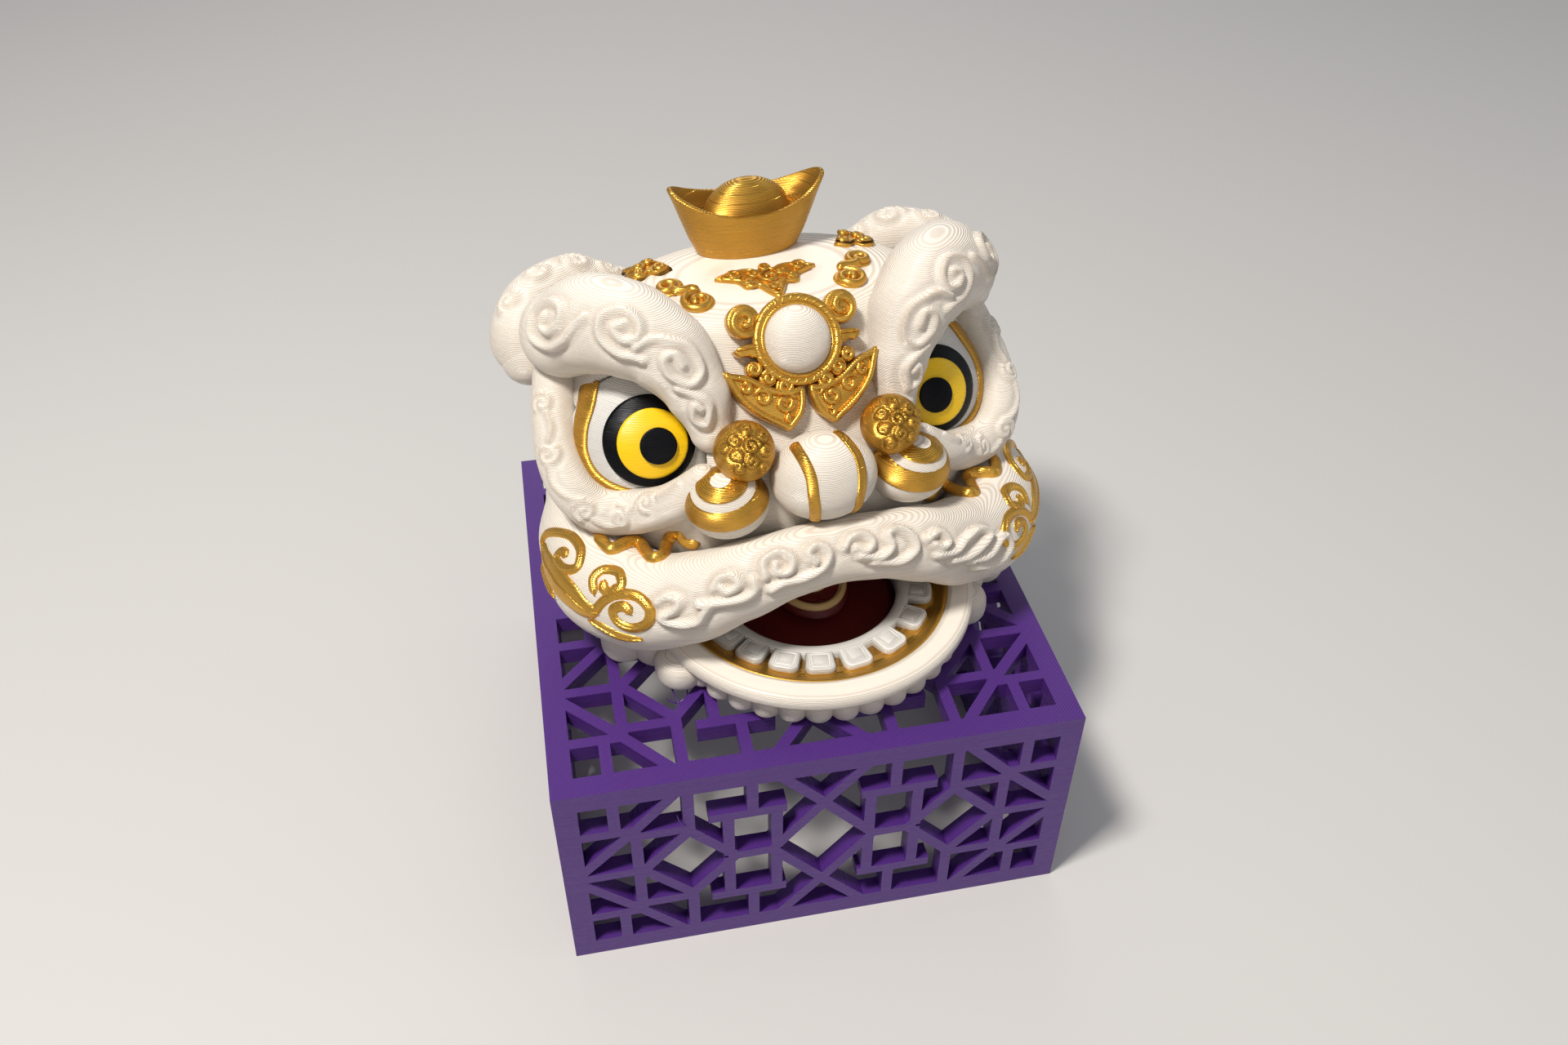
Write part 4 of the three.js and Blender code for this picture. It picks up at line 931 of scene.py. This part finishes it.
class LIONHEAD_OT_skull(bpy.types.Operator):
    """Makes the smooth skull with the openings behind its eyes and its mouth"""

    bl_idname = "lionhead.skull"
    bl_label = "Skull"

    def execute(self, context):
        bm = skull_mesh()
        write(bm, pushed_back_for_mouth(pushed_back_for_eyes(read(bm))))
        piece(bm, "skull_shell", "ivory", ["skull"])
        return {"FINISHED"}


class LIONHEAD_OT_rolls(bpy.types.Operator):
    """Makes the brows, ears, eye sockets and upper lip with their raised spirals and clouds"""

    bl_idname = "lionhead.rolls"
    bl_label = "Brows, ears, sockets and lip"

    def execute(self, context):
        sizes = context.scene.lion_head_sizes
        for name, side in SIDES:
            brow = table_line(BROW_LINE, side)
            relief = [brow.drawn(table) for table in BROW_RELIEF]
            bm = rolled(brow, 130, 190, relief, sizes.brow_relief / MM, 0.75)
            piece(bm, f"brow_roll_{name}", "ivory", [f"brow_{name}"])
            ear = table_line(EAR_LINE, side)
            curls = [self.patch(ear, *row) for row in EAR_CURLS]
            piece(rolled(ear, 90, 130, curls, 0.5, 0.8), f"ear_roll_{name}", "ivory", [f"ear_{name}"])
            socket = table_line(SOCKET_LINE, side)
            curls = [self.patch(socket, *row) for row in SOCKET_CURLS]
            links = [socket.drawn(table) for table in SOCKET_LINKS]
            bm = rolled(socket, 80, 210, curls + links, 0.5, 0.62)
            piece(bm, f"socket_roll_{name}", "ivory", [f"socket_{name}"])
        lip = table_line(LIP_LINE)
        relief = [lip.drawn(table) for table in LIP_RELIEF]
        bm = rolled(lip, 120, 420, relief, sizes.lip_relief / MM, 0.75)
        piece(bm, "upper_lip_roll", "ivory", ["upper_lip"])
        return {"FINISHED"}

    @staticmethod
    def patch(line, mark, turn, radius, start):
        flat = curl(radius, 1.35, start)
        scale = np.interp(mark, line.marks, line.radii)
        return line.surface(mark + flat[:, 0], math.radians(turn) + flat[:, 1] / scale)[0]


class LIONHEAD_OT_eyes(bpy.types.Operator):
    """Makes the eyeballs, their gold liners and the black, yellow and black rounds on them"""

    bl_idname = "lionhead.eyes"
    bl_label = "Eyes"

    def execute(self, context):
        for name, side in SIDES:
            bm = ball_mesh(128, 96)
            unit = read(bm)
            look = eye_look(side, "opening")
            depth = unit @ look * EYE_BALL
            flat = unit * EYE_BALL - depth[:, None] * look
            away = np.linalg.norm(flat, axis=1)
            kept = np.maximum(depth, EYE_BACK)
            flat *= np.minimum(1, EYE_OPENING / np.maximum(away, 1e-6))[:, None]
            write(bm, eye_centre(side) + flat + kept[:, None] * look)
            piece(bm, f"eyeball_{name}_smooth", "white", [f"eyeball_{name}"])
            for layer, label, solid, finish, *sizes in EYE_ROUNDS:
                piece(eye_cap(side, layer, *sizes), f"{label}_{name}", finish, [f"{solid}_{name}"])
            ways = smooth([(-side * x, y, z) for x, y, z, _ in LINER_LINE], 10)
            ways /= np.linalg.norm(ways, axis=1)[:, None]
            share, knots = np.linspace(0, 1, len(ways)), np.linspace(0, 1, len(LINER_LINE))
            widths = np.interp(share, knots, [row[3] for row in LINER_LINE])
            band = ribbon(eye_centre(side) + ways * (EYE_BALL + 0.1), ways, widths, 0.6, 16)
            piece(band, f"eye_liner_cord_{name}", "gold", [f"eye_liner_{name}"])
        return {"FINISHED"}


class LIONHEAD_OT_nose(bpy.types.Operator):
    """Makes the striped nose, the embossed gold balls and the banded cheek balls"""

    bl_idname = "lionhead.nose"
    bl_label = "Nose and cheeks"

    def execute(self, context):
        bm = ball_mesh(128, 96)
        write(bm, NOSE_MIDDLE + read(bm) * NOSE_HALF)
        piece(bm, "nose_smooth", "ivory", ["nose"])
        for name, side in SIDES:
            ways = smooth(NOSE_STRIPES[side], 8)
            ways /= np.linalg.norm(ways, axis=1)[:, None]
            bm = ribbon(NOSE_MIDDLE + ways * (NOSE_HALF + 0.02), ways / NOSE_HALF, 1.05, 0.4, 14)
            piece(bm, f"nose_stripe_cord_{name}", "gold", [f"nose_stripe_{name}"])

            bm = ball_mesh(140, 110)
            unit = read(bm)
            centre = at(0.139 * side, -0.169, 0.745)
            lines = [centre + row * GOLD_BALL for row in self.ball_relief(side)]
            write(bm, emboss(centre + unit * GOLD_BALL, unit, lines, 0.55, 0.4, 0.35))
            piece(bm, f"gold_ball_{name}", "gold", [f"nostril_ball_{name}"])
            self.cheek(name, side)
        return {"FINISHED"}

    @staticmethod
    def ball_relief(side):
        """Curls on the front of a gold ball, as directions from its middle."""
        rows = []
        across = np.cross(FACE_UP, FACE_OUT)
        for x, y, radius, start in GOLD_BALL_CURLS:
            flat = curl(radius, 1.2, start, 1, 0.25, 18) + (x * side, y)
            deep = np.sqrt(np.clip(1 - (flat**2).sum(1), 0.02, 1))
            rows.append(flat[:, :1] * across + flat[:, 1:] * FACE_UP + deep[:, None] * FACE_OUT)
        return rows

    @staticmethod
    def cheek(name, side):
        """A cheek ball in bands like a snail's: white top, thin gold, white, wide gold and white again."""
        centre = at(0.176 * side, -0.185, 0.59)
        bm = ball_mesh(144, 120)
        unit = read(bm)
        angle = np.degrees(np.arccos(np.clip(unit[:, 2], -1, 1)))
        gold = np.zeros(len(unit))
        for low, high in CHEEK_GOLD:
            gold += np.clip((angle - low) / 1.5, 0, 1) * np.clip((high - angle) / 1.5, 0, 1)
        step = 0.02 * gold + 0.035 * np.clip((CHEEK_GOLD[0][1] + 1 - angle) / 2, 0, 1)
        pole = Vector((side * 0.2, -0.17, 0.965)).normalized()
        unit = unit @ np.array(Vector((0, 0, 1)).rotation_difference(pole).to_matrix()).T
        write(bm, centre + unit * CHEEK_HALF * (0.97 + step)[:, None])
        for face in bm.faces:
            mean = sum(angle[v.index] for v in face.verts) / len(face.verts)
            face.material_index = int(any(low < mean < high for low, high in CHEEK_GOLD))
        piece(bm, f"cheek_ball_smooth_{name}", ("ivory", "gold"), [f"cheek_ball_{name}"])


class LIONHEAD_OT_ornaments(bpy.types.Operator):
    """Makes the gold on the head: ingot, ring, wings, flowers, scrolls, cheek scrolls and wavy lines"""

    bl_idname = "lionhead.ornaments"
    bl_label = "Gold ornaments"

    def execute(self, context):
        self.cord = context.scene.lion_head_sizes.cord / MM
        self.ingot()
        self.ring()
        self.wings()
        self.crown()
        self.cheeks()
        return {"FINISHED"}

    def ingot(self):
        bm = ball_mesh(144, 96)
        unit = read(bm)
        table = np.array(INGOT_SECTIONS, float)
        index = (1 - np.arccos(np.clip(unit[:, 2], -1, 1)) / np.pi) * (len(table) - 1)
        length, width, low, rise = (np.interp(index, np.arange(len(table)), table[:, k]) for k in range(4))
        turn = np.arctan2(unit[:, 1], unit[:, 0])
        end = np.abs(np.cos(turn)) ** 2.2
        x, y = length / 2 * np.cos(turn), width / 2 * np.sin(turn)
        write(bm, INGOT_MIDDLE + np.stack([x, y, low + rise * end], -1))
        bmesh.ops.smooth_vert(
            bm, verts=bm.verts, factor=0.4, use_axis_x=True, use_axis_y=True, use_axis_z=True)
        piece(bm, "ingot_boat", "gold", ["ingot"])
        bm = ball_mesh(112, 80)
        unit = read(bm)
        write(bm, INGOT_MIDDLE + (0, 0, DOME_TOP - DOME_HALF[2]) + unit * DOME_HALF)
        piece(bm, "ingot_dome_smooth", "gold", ["ingot_dome"])

    def ring(self):
        """The roped ring with its white ball, its spirals and its horns."""
        bm = ball_mesh(112, 80)
        unit = read(bm)
        deep = unit @ FACE_OUT
        places = (unit - deep[:, None] * FACE_OUT) * 6.3 + (deep[:, None] * FACE_OUT) * 4.4
        write(bm, RING_MIDDLE + FACE_OUT * 0.2 + places)
        piece(bm, "mirror_ball_smooth", "ivory", ["mirror_ball"])
        turn = np.linspace(0, 2 * math.pi, 181)[:-1]
        parts = []
        for reach, radius, lift in ((RING_REACH, RING_CORD, 0.5), (6.6, 0.42, 0.75)):
            points = [on_forehead(reach * math.cos(a), reach * math.sin(a), lift) for a in turn]
            parts.append(tube(points, radius, 14, closed=True, flatten=FACE_OUT))
        for a in np.linspace(0, 2 * math.pi, ROPE_TURNS + 1)[:-1]:
            points = []
            for b in np.linspace(-0.2, 3.3, 9):
                reach, turned = RING_REACH + 0.68 * math.cos(b), a + 0.11 * b / 1.57
                lift = 0.45 + 0.85 * (0.95 * math.sin(b))
                points.append(on_forehead(reach * math.cos(turned), reach * math.sin(turned), lift))
            parts.append(tube(points, 0.24, 6))
        for _, side in SIDES:
            for x, y, radius, start in RING_CURLS:
                flat = curl(radius - 0.15, 1.3, start, 1)
                points = [on_forehead(side * (x + a), y + b, 0.75) for a, b in flat]
                parts.append(tube(points, self.cord * (1.5 if radius > 2 else 1.05), 10, flatten=FACE_OUT))
                disc = [(side * (x + a), y + b) for a, b in curl(radius + 0.25, 1.0, 0, 1, 1.0, 25)[:-1]]
                parts.append(plate(disc, lambda u, v, h: on_forehead(u, v, h + 0.55), 2.2, 0.3))
            horn = [(side * x, y) for x, y in rounded_outline(HORN_OUTLINE, 5)]
            parts.append(plate(horn, lambda u, v, h: on_forehead(u, v, h + 0.9), 2.6, 0.35))
            crest = [on_forehead(side * x, y, 0.95) for x, y in HORN_CREST]
            parts.append(tube(smooth(crest, 4), 0.42, 8, flatten=FACE_OUT))
        piece(parts, "mirror_ring_roped", "relief", ["mirror_ring"])

    def wings(self):
        for name, side in SIDES:
            border = rounded_outline(WING_OUTLINE, 4) * (side, 1)
            parts = [plate([tuple(p) for p in border], lambda u, v, h: on_forehead(u, v, h + 0.45), 2.4, 0.3)]
            turned = np.roll(border, -1, axis=0) - np.roll(border, 1, axis=0)
            inward = np.stack([-turned[:, 1], turned[:, 0]], -1) / np.linalg.norm(turned, axis=1)[:, None]
            inward *= -1 if inward[0] @ (border.mean(0) - border[0]) < 0 else 1
            rim = border + inward * 0.62
            for _ in range(2):
                rim = (np.roll(rim, 1, axis=0) + rim + np.roll(rim, -1, axis=0)) / 3
            parts.append(
                ribbon([on_forehead(x, y, 0.6) for x, y in rim], FACE_OUT, 0.6, 0.65, 10, closed=True))
            for x, y, radius, start, turns in WING_CURLS:
                flat = curl(radius, turns, start, 1, 0.25, 22)
                parts.append(tube([on_forehead(side * (x + a), y + b, 0.55) for a, b in flat], 0.6, 9,
                    flatten=FACE_OUT))
            leaf = smooth(WING_LEAF, 5)
            parts.append(tube([on_forehead(side * x, y, 0.6) for x, y, _ in leaf], 0.5, 9, flatten=FACE_OUT))
            piece(parts, f"wing_plate_{name}", "relief", [f"wing_{name}"])

    def crown(self):
        half = [(x, y) for x, y in FLOWER_HALF]
        outline = half + [(-x, y) for x, y in half[1:-1][::-1]]
        self.crown_piece("flower_centre", outline, at(0, 0.145, 1), FLOWER_CURLS)
        for name, side in SIDES:
            outline = [(side * x, y) for x, y in SMALL_FLOWER]
            curls = [(side * x, *row) for x, *row in SMALL_CURLS]
            self.crown_piece(f"flower_{name}", outline, at(0.205 * side, 0.282, 0.98), curls)
            parts = []
            middle = at(0.152 * side, 0.142, 0.99)
            for x, y, radius, start in CROWN_SCROLLS:
                flat = curl(radius, 1.5, start, -1, 0.12, 40)
                spots = [on_skull(middle[0] + side * (x + a), middle[1] + y + b, 0.6) for a, b in flat]
                parts.append(tube(spots, 0.78, 10))
                flat = curl(radius * 0.96, 1.0, 0, 1, 1.0, 25)[:-1]
                disc = [(middle[0] + side * (x + a), middle[1] + y + b) for a, b in flat]
                parts.append(plate(disc, lambda u, v, h: on_skull(u, v, h + 0.45), 1.6, 0.25))
            bridge = smooth(CROWN_BRIDGE, 5)
            parts.append(
                tube([on_skull(middle[0] + side * x, middle[1] + y, 0.5) for x, y, _ in bridge], 0.95, 10))
            piece(parts, f"scroll_pair_{name}", "relief", [f"scroll_{name}"])

    def crown_piece(self, node_name, outline, middle, curls):
        line = rounded_outline(outline, 3)
        spots = [(middle[0] + x, middle[1] + y) for x, y in line]
        parts = [plate(spots, lambda u, v, h: on_skull(u, v, h + 0.8), 2.2, 0.35)]
        inner = line * 0.86
        parts.append(
            tube([on_skull(middle[0] + x, middle[1] + y, 0.85) for x, y in inner], 0.32, 8, closed=True))
        for x, y, radius, start in curls:
            flat = curl(radius, 1.3, start, 1, 0.2, 20)
            parts.append(
                tube([on_skull(middle[0] + x + a, middle[1] + y + b, 1.05) for a, b in flat], self.cord, 9))
        piece(parts, f"{node_name}_relief", "relief", [node_name])

    def cheeks(self):
        lip = table_line(LIP_LINE)
        for name, side in SIDES:
            turned = (lambda row: row) if side < 0 else (lambda row: (lip.length - row[0], row[1]))
            parts = []
            for table in GOLD_SCROLLS:
                spots, outs = lip.drawn_with_out([turned(row) for row in table], 8)
                spots = spots - outs * 0.35
                parts.append(ribbon(spots, outs, 1.12, 0.85, 14))
                parts.append(ribbon(spots + outs * 0.62, outs, 0.34, 0.36, 8))
            for table, widest in GOLD_LEAVES:
                spots, outs = lip.drawn_with_out([turned(row) for row in table], 8)
                spots = spots - outs * 0.35
                swell = np.sin(np.linspace(0.2, 2.95, len(spots)))
                parts.append(ribbon(spots, outs, 0.5 + widest * swell, 0.85, 18))
                parts.append(ribbon(spots + outs * 0.66, outs, 0.32, 0.4, 8))
            piece(parts, f"cheek_scroll_cords_{name}", "relief", [f"cheek_scroll_{name}"])
            self.wave(name, side)

    @staticmethod
    def wave(name, side):
        spots = smooth([(-side * x, y, z) for x, y, z in WAVY_LINE], 5) + FACE_OUT * 0.25
        piece(
            ribbon(spots, FACE_OUT, 1.2, 0.7, 14), f"wavy_line_{name}", "relief", [f"zigzag_{name}"])


class LIONHEAD_OT_mouth(bpy.types.Operator):
    """Makes the jaw's dish, the gold gum, the teeth, the tongue and the dark red inside"""

    bl_idname = "lionhead.mouth"
    bl_label = "Mouth"

    def execute(self, context):
        profile = [tuple(p[:2]) for p in smooth([(x, z, 0) for x, z in JAW_PROFILE], 4)]
        piece(spun(profile, JAW_MIDDLE, 160), "jaw_dish", "ivory", ["jaw"])
        piece(spun(GUM_PROFILE, JAW_MIDDLE, 160), "gum_ring", "relief", ["gum_band"])
        piece(spun(FLOOR_PROFILE, JAW_MIDDLE, 96), "mouth_floor_disc", "maroon", ["mouth_floor"])
        parts = [spun(TOOTH_RING_PROFILE, JAW_MIDDLE, 160)]
        parts += [self.tooth(math.radians(angle)) for angle in TOOTH_ANGLES]
        piece(parts, "teeth_row", "white", ["teeth"])
        self.lining()
        self.tongue()
        return {"FINISHED"}

    @staticmethod
    def tooth(angle):
        bm = bmesh.new()
        bmesh.ops.create_cube(bm, size=1)
        bmesh.ops.scale(bm, verts=bm.verts, vec=TOOTH_SIZE)
        upright = [e for e in bm.edges if abs(e.verts[0].co.z - e.verts[1].co.z) > 1 and e.verts[0].co.x > 0]
        bmesh.ops.bevel(bm, geom=upright, offset=1.7, segments=6, profile=0.5, affect="EDGES", material=-1)
        top = [e for e in bm.edges if all(v.co.z > 1 for v in e.verts)]
        bmesh.ops.bevel(bm, geom=top, offset=0.6, segments=3, profile=0.5, affect="EDGES", material=-1,
            clamp_overlap=True)
        top = [f for f in bm.faces if f.normal.z > 0.99 and f.calc_area() > 4]
        bmesh.ops.inset_region(bm, faces=top, thickness=0.7, depth=-0.3)
        bmesh.ops.inset_region(bm, faces=top, thickness=0.45, depth=0.3)
        for vert in bm.verts:
            vert.co.y *= 1 + 0.03 * vert.co.x
        bm.transform(
            Matrix.Translation(Vector(JAW_MIDDLE) + Vector((0, 0, TOOTH_UP)))
            @ Matrix.Rotation(angle, 4, "Z") @ Matrix.Translation((TOOTH_REACH, 0, 0)))
        bmesh.ops.recalc_face_normals(bm, faces=bm.faces)
        return bm

    @staticmethod
    def lining():
        bm = ball_mesh(96, 72)
        unit = read(bm)
        write(bm, MOUTH_MIDDLE + unit * (MOUTH_HALF - 0.5))
        for spot, way in ((MOUTH_MIDDLE, (0, 1, 0)), (Vector((0, 0, 9.7)), (0, 0, 1))):
            geometry = bm.verts[:] + bm.edges[:] + bm.faces[:]
            bmesh.ops.bisect_plane(
                bm, geom=geometry, plane_co=spot, plane_no=way, clear_inner=True, dist=1e-6)
        bmesh.ops.recalc_face_normals(bm, faces=bm.faces)
        bmesh.ops.reverse_faces(bm, faces=bm.faces)
        bmesh.ops.solidify(bm, geom=bm.faces[:], thickness=-0.8)
        piece(bm, "mouth_lining_shell", "maroon", ["mouth_lining"])

    @staticmethod
    def tongue():
        bm = ball_mesh(112, 72)
        unit = read(bm)
        groove = -0.35 * np.exp(-((unit[:, 0] / 0.1) ** 2)) * np.clip(unit[:, 2], 0, 1)
        places = TONGUE_MIDDLE + unit * TONGUE_HALF
        places[:, 2] = np.maximum(places[:, 2] + groove, 5.0)
        write(bm, places)
        piece(bm, "tongue_smooth", "maroon", ["tongue"])
        parts = []
        for reach, radius in ((0.86, 0.8), (0.5, 0.45)):
            turn = np.linspace(math.pi * 0.96, 2.04 * math.pi, 50)
            x, y = reach * np.cos(turn), reach * np.sin(turn)
            z = np.sqrt(np.clip(1 - x**2 - y**2, 0.05, 1))
            parts.append(tube(TONGUE_MIDDLE + np.stack([x, y, z], -1) * TONGUE_HALF, radius, 12))
        piece(parts, "tongue_ring_cord", "cream", ["tongue_ring"])


class LIONHEAD_OT_ruffle(bpy.types.Operator):
    """Makes the scalloped foot: small lobes round the jaw and large ones round the neck"""

    bl_idname = "lionhead.ruffle"
    bl_label = "Ruffle"

    def execute(self, context):
        parts = []
        for i in range(JAW_LOBES):
            turn = math.pi * (1.0 + (i + 0.5) / JAW_LOBES)
            spot = JAW_MIDDLE + np.array((27.7 * math.cos(turn), 27.7 * math.sin(turn), 2.6))
            parts.append(self.lobe(spot, turn, JAW_LOBE))
        for _, side in SIDES:
            for x, y in SIDE_LOBES:
                turn = math.atan2(y - JAW_MIDDLE[1], side * x)
                parts.append(self.lobe(np.array((side * x, y, 3.5)), turn, SIDE_LOBE))
        sections = SKULL_SECTIONS[1]
        middle = (sections[2] + sections[3]) / 2 * HEAD_DEPTH
        reach = (sections[3] - sections[2]) / 2 * HEAD_DEPTH
        for i in range(NECK_LOBES):
            turn = math.pi * (-0.24 + 1.48 * i / (NECK_LOBES - 1))
            spot = np.array(
                (0.355 * HEAD_WIDTH * math.cos(turn), middle + reach * 0.97 * math.sin(turn), 2.9))
            parts.append(self.lobe(spot, turn, NECK_LOBE))
        base = ball_mesh(96, 24)
        unit = read(base)
        rounded = np.sign(unit[:, 2]) * np.abs(unit[:, 2]) ** 0.3
        places = np.stack([unit[:, 0] * 35.5, unit[:, 1] * (reach - 0.5), rounded * 2.6], -1)
        write(base, np.array((0, middle, 2.95)) + places)
        parts.append(base)
        piece(parts, "ruffle_lobes", "ivory", ["ruffle"])
        return {"FINISHED"}

    @staticmethod
    def lobe(spot, turn, half):
        bm = ball_mesh(24, 16)
        unit = read(bm)
        upright = np.sign(unit[:, 2]) * np.abs(unit[:, 2]) ** 0.55
        places = np.stack([unit[:, 0] * half[0], unit[:, 1] * half[1], upright * half[2]], -1)
        write(bm, places)
        bm.transform(Matrix.Translation(spot) @ Matrix.Rotation(turn, 4, "Z"))
        return bm


class LIONHEAD_OT_stage(bpy.types.Operator):
    """Makes the plain pale floor, the soft studio lights and the camera"""

    bl_idname = "lionhead.stage"
    bl_label = "Stage"

    def execute(self, context):
        scene = context.scene
        bm = bmesh.new()
        bmesh.ops.create_grid(bm, x_segments=8, y_segments=8, size=3)
        mesh = bpy.data.meshes.new("floor")
        bm.to_mesh(mesh)
        bm.free()
        floor = bpy.data.objects.new("floor", mesh)
        scene.collection.objects.link(floor)
        pale = bpy.data.materials.new("pale floor")
        pale.use_nodes = True
        shader = pale.node_tree.nodes["Principled BSDF"]
        shader.inputs["Base Color"].default_value = FLOOR_COLOUR
        shader.inputs["Roughness"].default_value = 0.7
        mesh.materials.append(pale)

        world = bpy.data.worlds.new("soft room")
        world.use_nodes = True
        background = world.node_tree.nodes["Background"]
        background.inputs[0].default_value = ROOM_COLOUR
        background.inputs[1].default_value = ROOM_STRENGTH
        scene.world = world
        for name, spot, power, size, colour in LIGHTS:
            light = bpy.data.lights.new(name, "AREA")
            light.energy, light.size, light.color = power, size, colour
            lamp = bpy.data.objects.new(name, light)
            lamp.location = spot
            lamp.rotation_euler = (Vector(LIGHTS_FACE) - Vector(spot)).to_track_quat("-Z", "Y").to_euler()
            scene.collection.objects.link(lamp)

        lens = bpy.data.cameras.new("camera")
        lens.lens, lens.sensor_width, lens.clip_start = LENS, SENSOR, 0.01
        camera = bpy.data.objects.new("camera", lens)
        turned = Matrix((CAMERA_RIGHT, -Vector(CAMERA_DOWN), -Vector(CAMERA_AHEAD))).transposed().to_4x4()
        spot = Vector(CAMERA_PLACE) * MM + Vector((STAND_MIDDLE.x, STAND_MIDDLE.y, 0))
        camera.matrix_world = Matrix.Translation(spot) @ turned
        scene.collection.objects.link(camera)
        scene.camera = camera
        scene.view_settings.view_transform = "Standard"
        return {"FINISHED"}


class LIONHEAD_PT_panel(bpy.types.Panel):
    """Sizes, colours and the pieces in the order that they are made"""

    bl_idname = "LIONHEAD_PT_panel"
    bl_label = "Lion dance head"
    bl_space_type = "VIEW_3D"
    bl_region_type = "UI"
    bl_category = "Lion head"

    def draw(self, context):
        for settings in (context.scene.lion_head_sizes, context.scene.lion_head_colours):
            for key in settings.bl_rna.properties.keys():
                if key not in ("rna_type", "name"):
                    self.layout.prop(settings, key)
        for operator in OPERATORS:
            self.layout.operator(operator.bl_idname)


OPERATORS = (
    LIONHEAD_OT_finishes,
    LIONHEAD_OT_stand,
    LIONHEAD_OT_skull,
    LIONHEAD_OT_rolls,
    LIONHEAD_OT_eyes,
    LIONHEAD_OT_nose,
    LIONHEAD_OT_ornaments,
    LIONHEAD_OT_mouth,
    LIONHEAD_OT_ruffle,
    LIONHEAD_OT_stage,
)
CLASSES = (LionHeadSizes, LionHeadColours, *OPERATORS, LIONHEAD_PT_panel)


def register():
    for one in CLASSES:
        bpy.utils.register_class(one)
    bpy.types.Scene.lion_head_sizes = bpy.props.PointerProperty(type=LionHeadSizes)
    bpy.types.Scene.lion_head_colours = bpy.props.PointerProperty(type=LionHeadColours)


def unregister():
    del bpy.types.Scene.lion_head_colours
    del bpy.types.Scene.lion_head_sizes
    for one in reversed(CLASSES):
        bpy.utils.unregister_class(one)


def main():
    register()
    for operator in OPERATORS:
        getattr(bpy.ops.lionhead, operator.bl_idname.split(".")[1])()
    bpy.context.view_layer.update()


if __name__ == "__main__":
    main()
